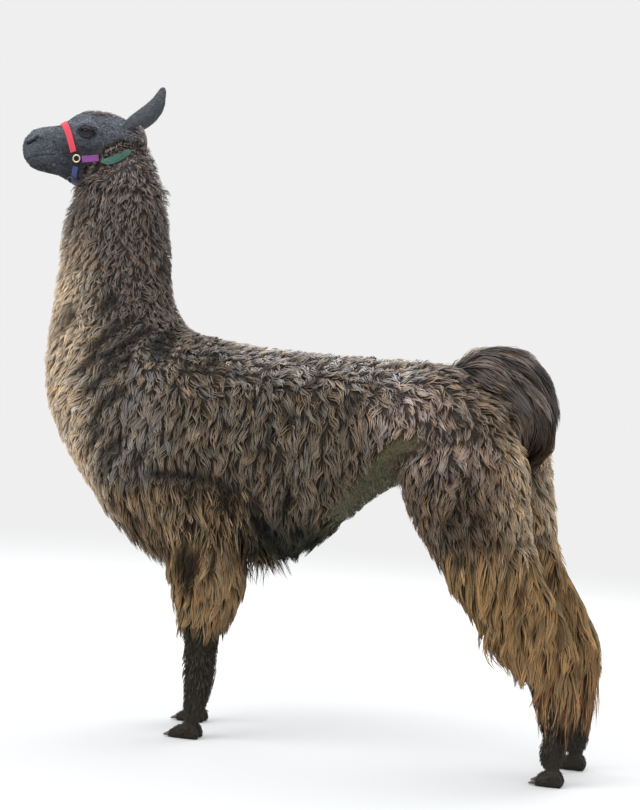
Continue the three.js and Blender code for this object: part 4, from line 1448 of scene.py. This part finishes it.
def makeStitches(name, lines, slotName, thread):
    v = halterValues
    mesh = bpy.data.meshes.new(name)
    edges, start = [], 0
    for line in lines:
        edges += [(start + k, start + k + 1) for k in range(len(line) - 1)]
        start += len(line)
    mesh.from_pydata(np.concatenate(lines).tolist(), edges, [])
    piece = newObject(name, mesh)
    modifier = piece.modifiers.new("stitches", "NODES")
    modifier.node_group = stitchNodes
    settings = {
        "Spacing": v["stitchSpacing"], "Stitch length": v["stitchLength"],
        "Thickness": v["stitchThickness"], "Thread": thread,
    }
    for item in stitchNodes.interface.items_tree:
        if item.in_out == "INPUT" and item.name in settings:
            modifier[item.identifier] = settings[item.name]
    made = evaluatedMesh(piece)
    piece.modifiers.remove(modifier)
    bpy.data.objects.remove(piece)
    made.name = name
    addPiece(name, made, slotName)


webbingMaterials = {name: makeWebbing(name, colour) for name, colour in strapColours.items()}
threadMaterials = {name: makeThread(name, colour) for name, colour in strapColours.items()}
for strapName in strapWays:
    makeStrap(strapName)


ringValues = {
    "halter_ring_left": ((0.72, 0.62, 0.38), "ring_pale"),
    "halter_ring_right": ((0.72, 0.62, 0.38), "ring_pale"),
    "halter_ring_chin": ((0.10, 0.095, 0.09), "ring_dark"),
}
ringSteps = (40, 12)        # round the ring and round its wire


def makeRing(node):         # a round ring in the place of the frame's faceted one
    colour, slotName = ringValues[node]
    points, _ = nodeArrays(node)
    centre = points.mean(0)
    _, _, axes = np.linalg.svd(points - centre)
    first, second, axis = axes
    far = np.hypot((points - centre) @ first, (points - centre) @ second)
    thick = np.abs((points - centre) @ axis).max()
    radius = (far.max() + far.min()) / 2
    count, around = ringSteps
    turns = [np.arange(steps) * 2 * math.pi / steps for steps in ringSteps]
    a, b = (turn.ravel()[:, None] for turn in np.meshgrid(*turns, indexing="ij"))
    out = np.cos(a) * first + np.sin(a) * second
    verts = centre + out * (radius + thick * np.cos(b)) + axis * thick * np.sin(b)
    faces = []
    for i in range(count):
        for j in range(around):
            p, q = i * around + j, i * around + (j + 1) % around
            r, t = (i + 1) % count * around + j, (i + 1) % count * around + (j + 1) % around
            faces += [(p, r, t), (p, t, q)]
    mesh = meshFromArrays(node + "_round", verts, np.array(faces))
    material, _, _ = newMaterial(node, {"Base Color": (*colour, 1), "Metallic": 1.0, "Roughness": 0.35})
    mesh.materials.append(material)
    addPiece(node + "_round", mesh, slotName, node)


for ringName in ringValues:
    makeRing(ringName)
print("eyes and halter")

nailValues = {"horn": (0.050, 0.040, 0.032), "pale": (0.14, 0.115, 0.09), "streak": 0.0012}


def makeNails():        # rounded off from the frame's faceted ones, streaked lengthwise
    v = nailValues
    material, tree, shader = newMaterial("horn", {"Roughness": 0.38})
    useColour(tree, "hornColour", shader, "Base Color")
    for node in [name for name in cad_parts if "_nail_" in name]:
        points, faces = withModifier(*nodeArrays(node), "SUBSURF", {"levels": 3, "render_levels": 3})
        streaks = noise(points / np.array([8.0, 1, 1]), v["streak"], 51)
        tip = ramp(points[:, 0].min() + 0.008 - points[:, 0], -0.004, 0.008)
        pale = np.clip(0.6 * streaks + 0.5 * tip, 0, 1)
        mesh = meshFromArrays(node + "_horn", points, faces)
        colourLayer(mesh, "hornColour", blend(np.array(v["horn"]), v["pale"], pale))
        mesh.materials.append(material)
        addPiece(node + "_horn", mesh, "nail", node)


makeNails()


def makeSkin():
    material, tree, hairs = streakedMaterial(
        "skin", {"Roughness": 0.7, "Specular IOR Level": 0.25},
        ("ShaderNodeTexNoise", {"Scale": 420.0, "Detail": 3.0}, {}), "skinColour",
        (0.3, 0.7, 0.55, 1.40), (0.5, 0.0012))
    wire(tree, (addNode(tree, "ShaderNodeTexCoord"), "Object", hairs, "Vector"))
    mesh = meshFromArrays("skin", skinPoints, skinFaces)
    thin = share("head") + share("ear") + share("foot") + bareFlank(skinPoints) * share("trunk")
    # darker where the coat is thick, lighter where the hair is thin: painted shade under the coat
    colourLayer(mesh, "skinColour", skinTint * (0.30 + 0.5 * np.clip(thin, 0, 1)[:, None]))
    mesh.materials.append(material)
    addPiece("skin", mesh, "fleece", *fleshNodes)


makeSkin()
print("nails and skin")
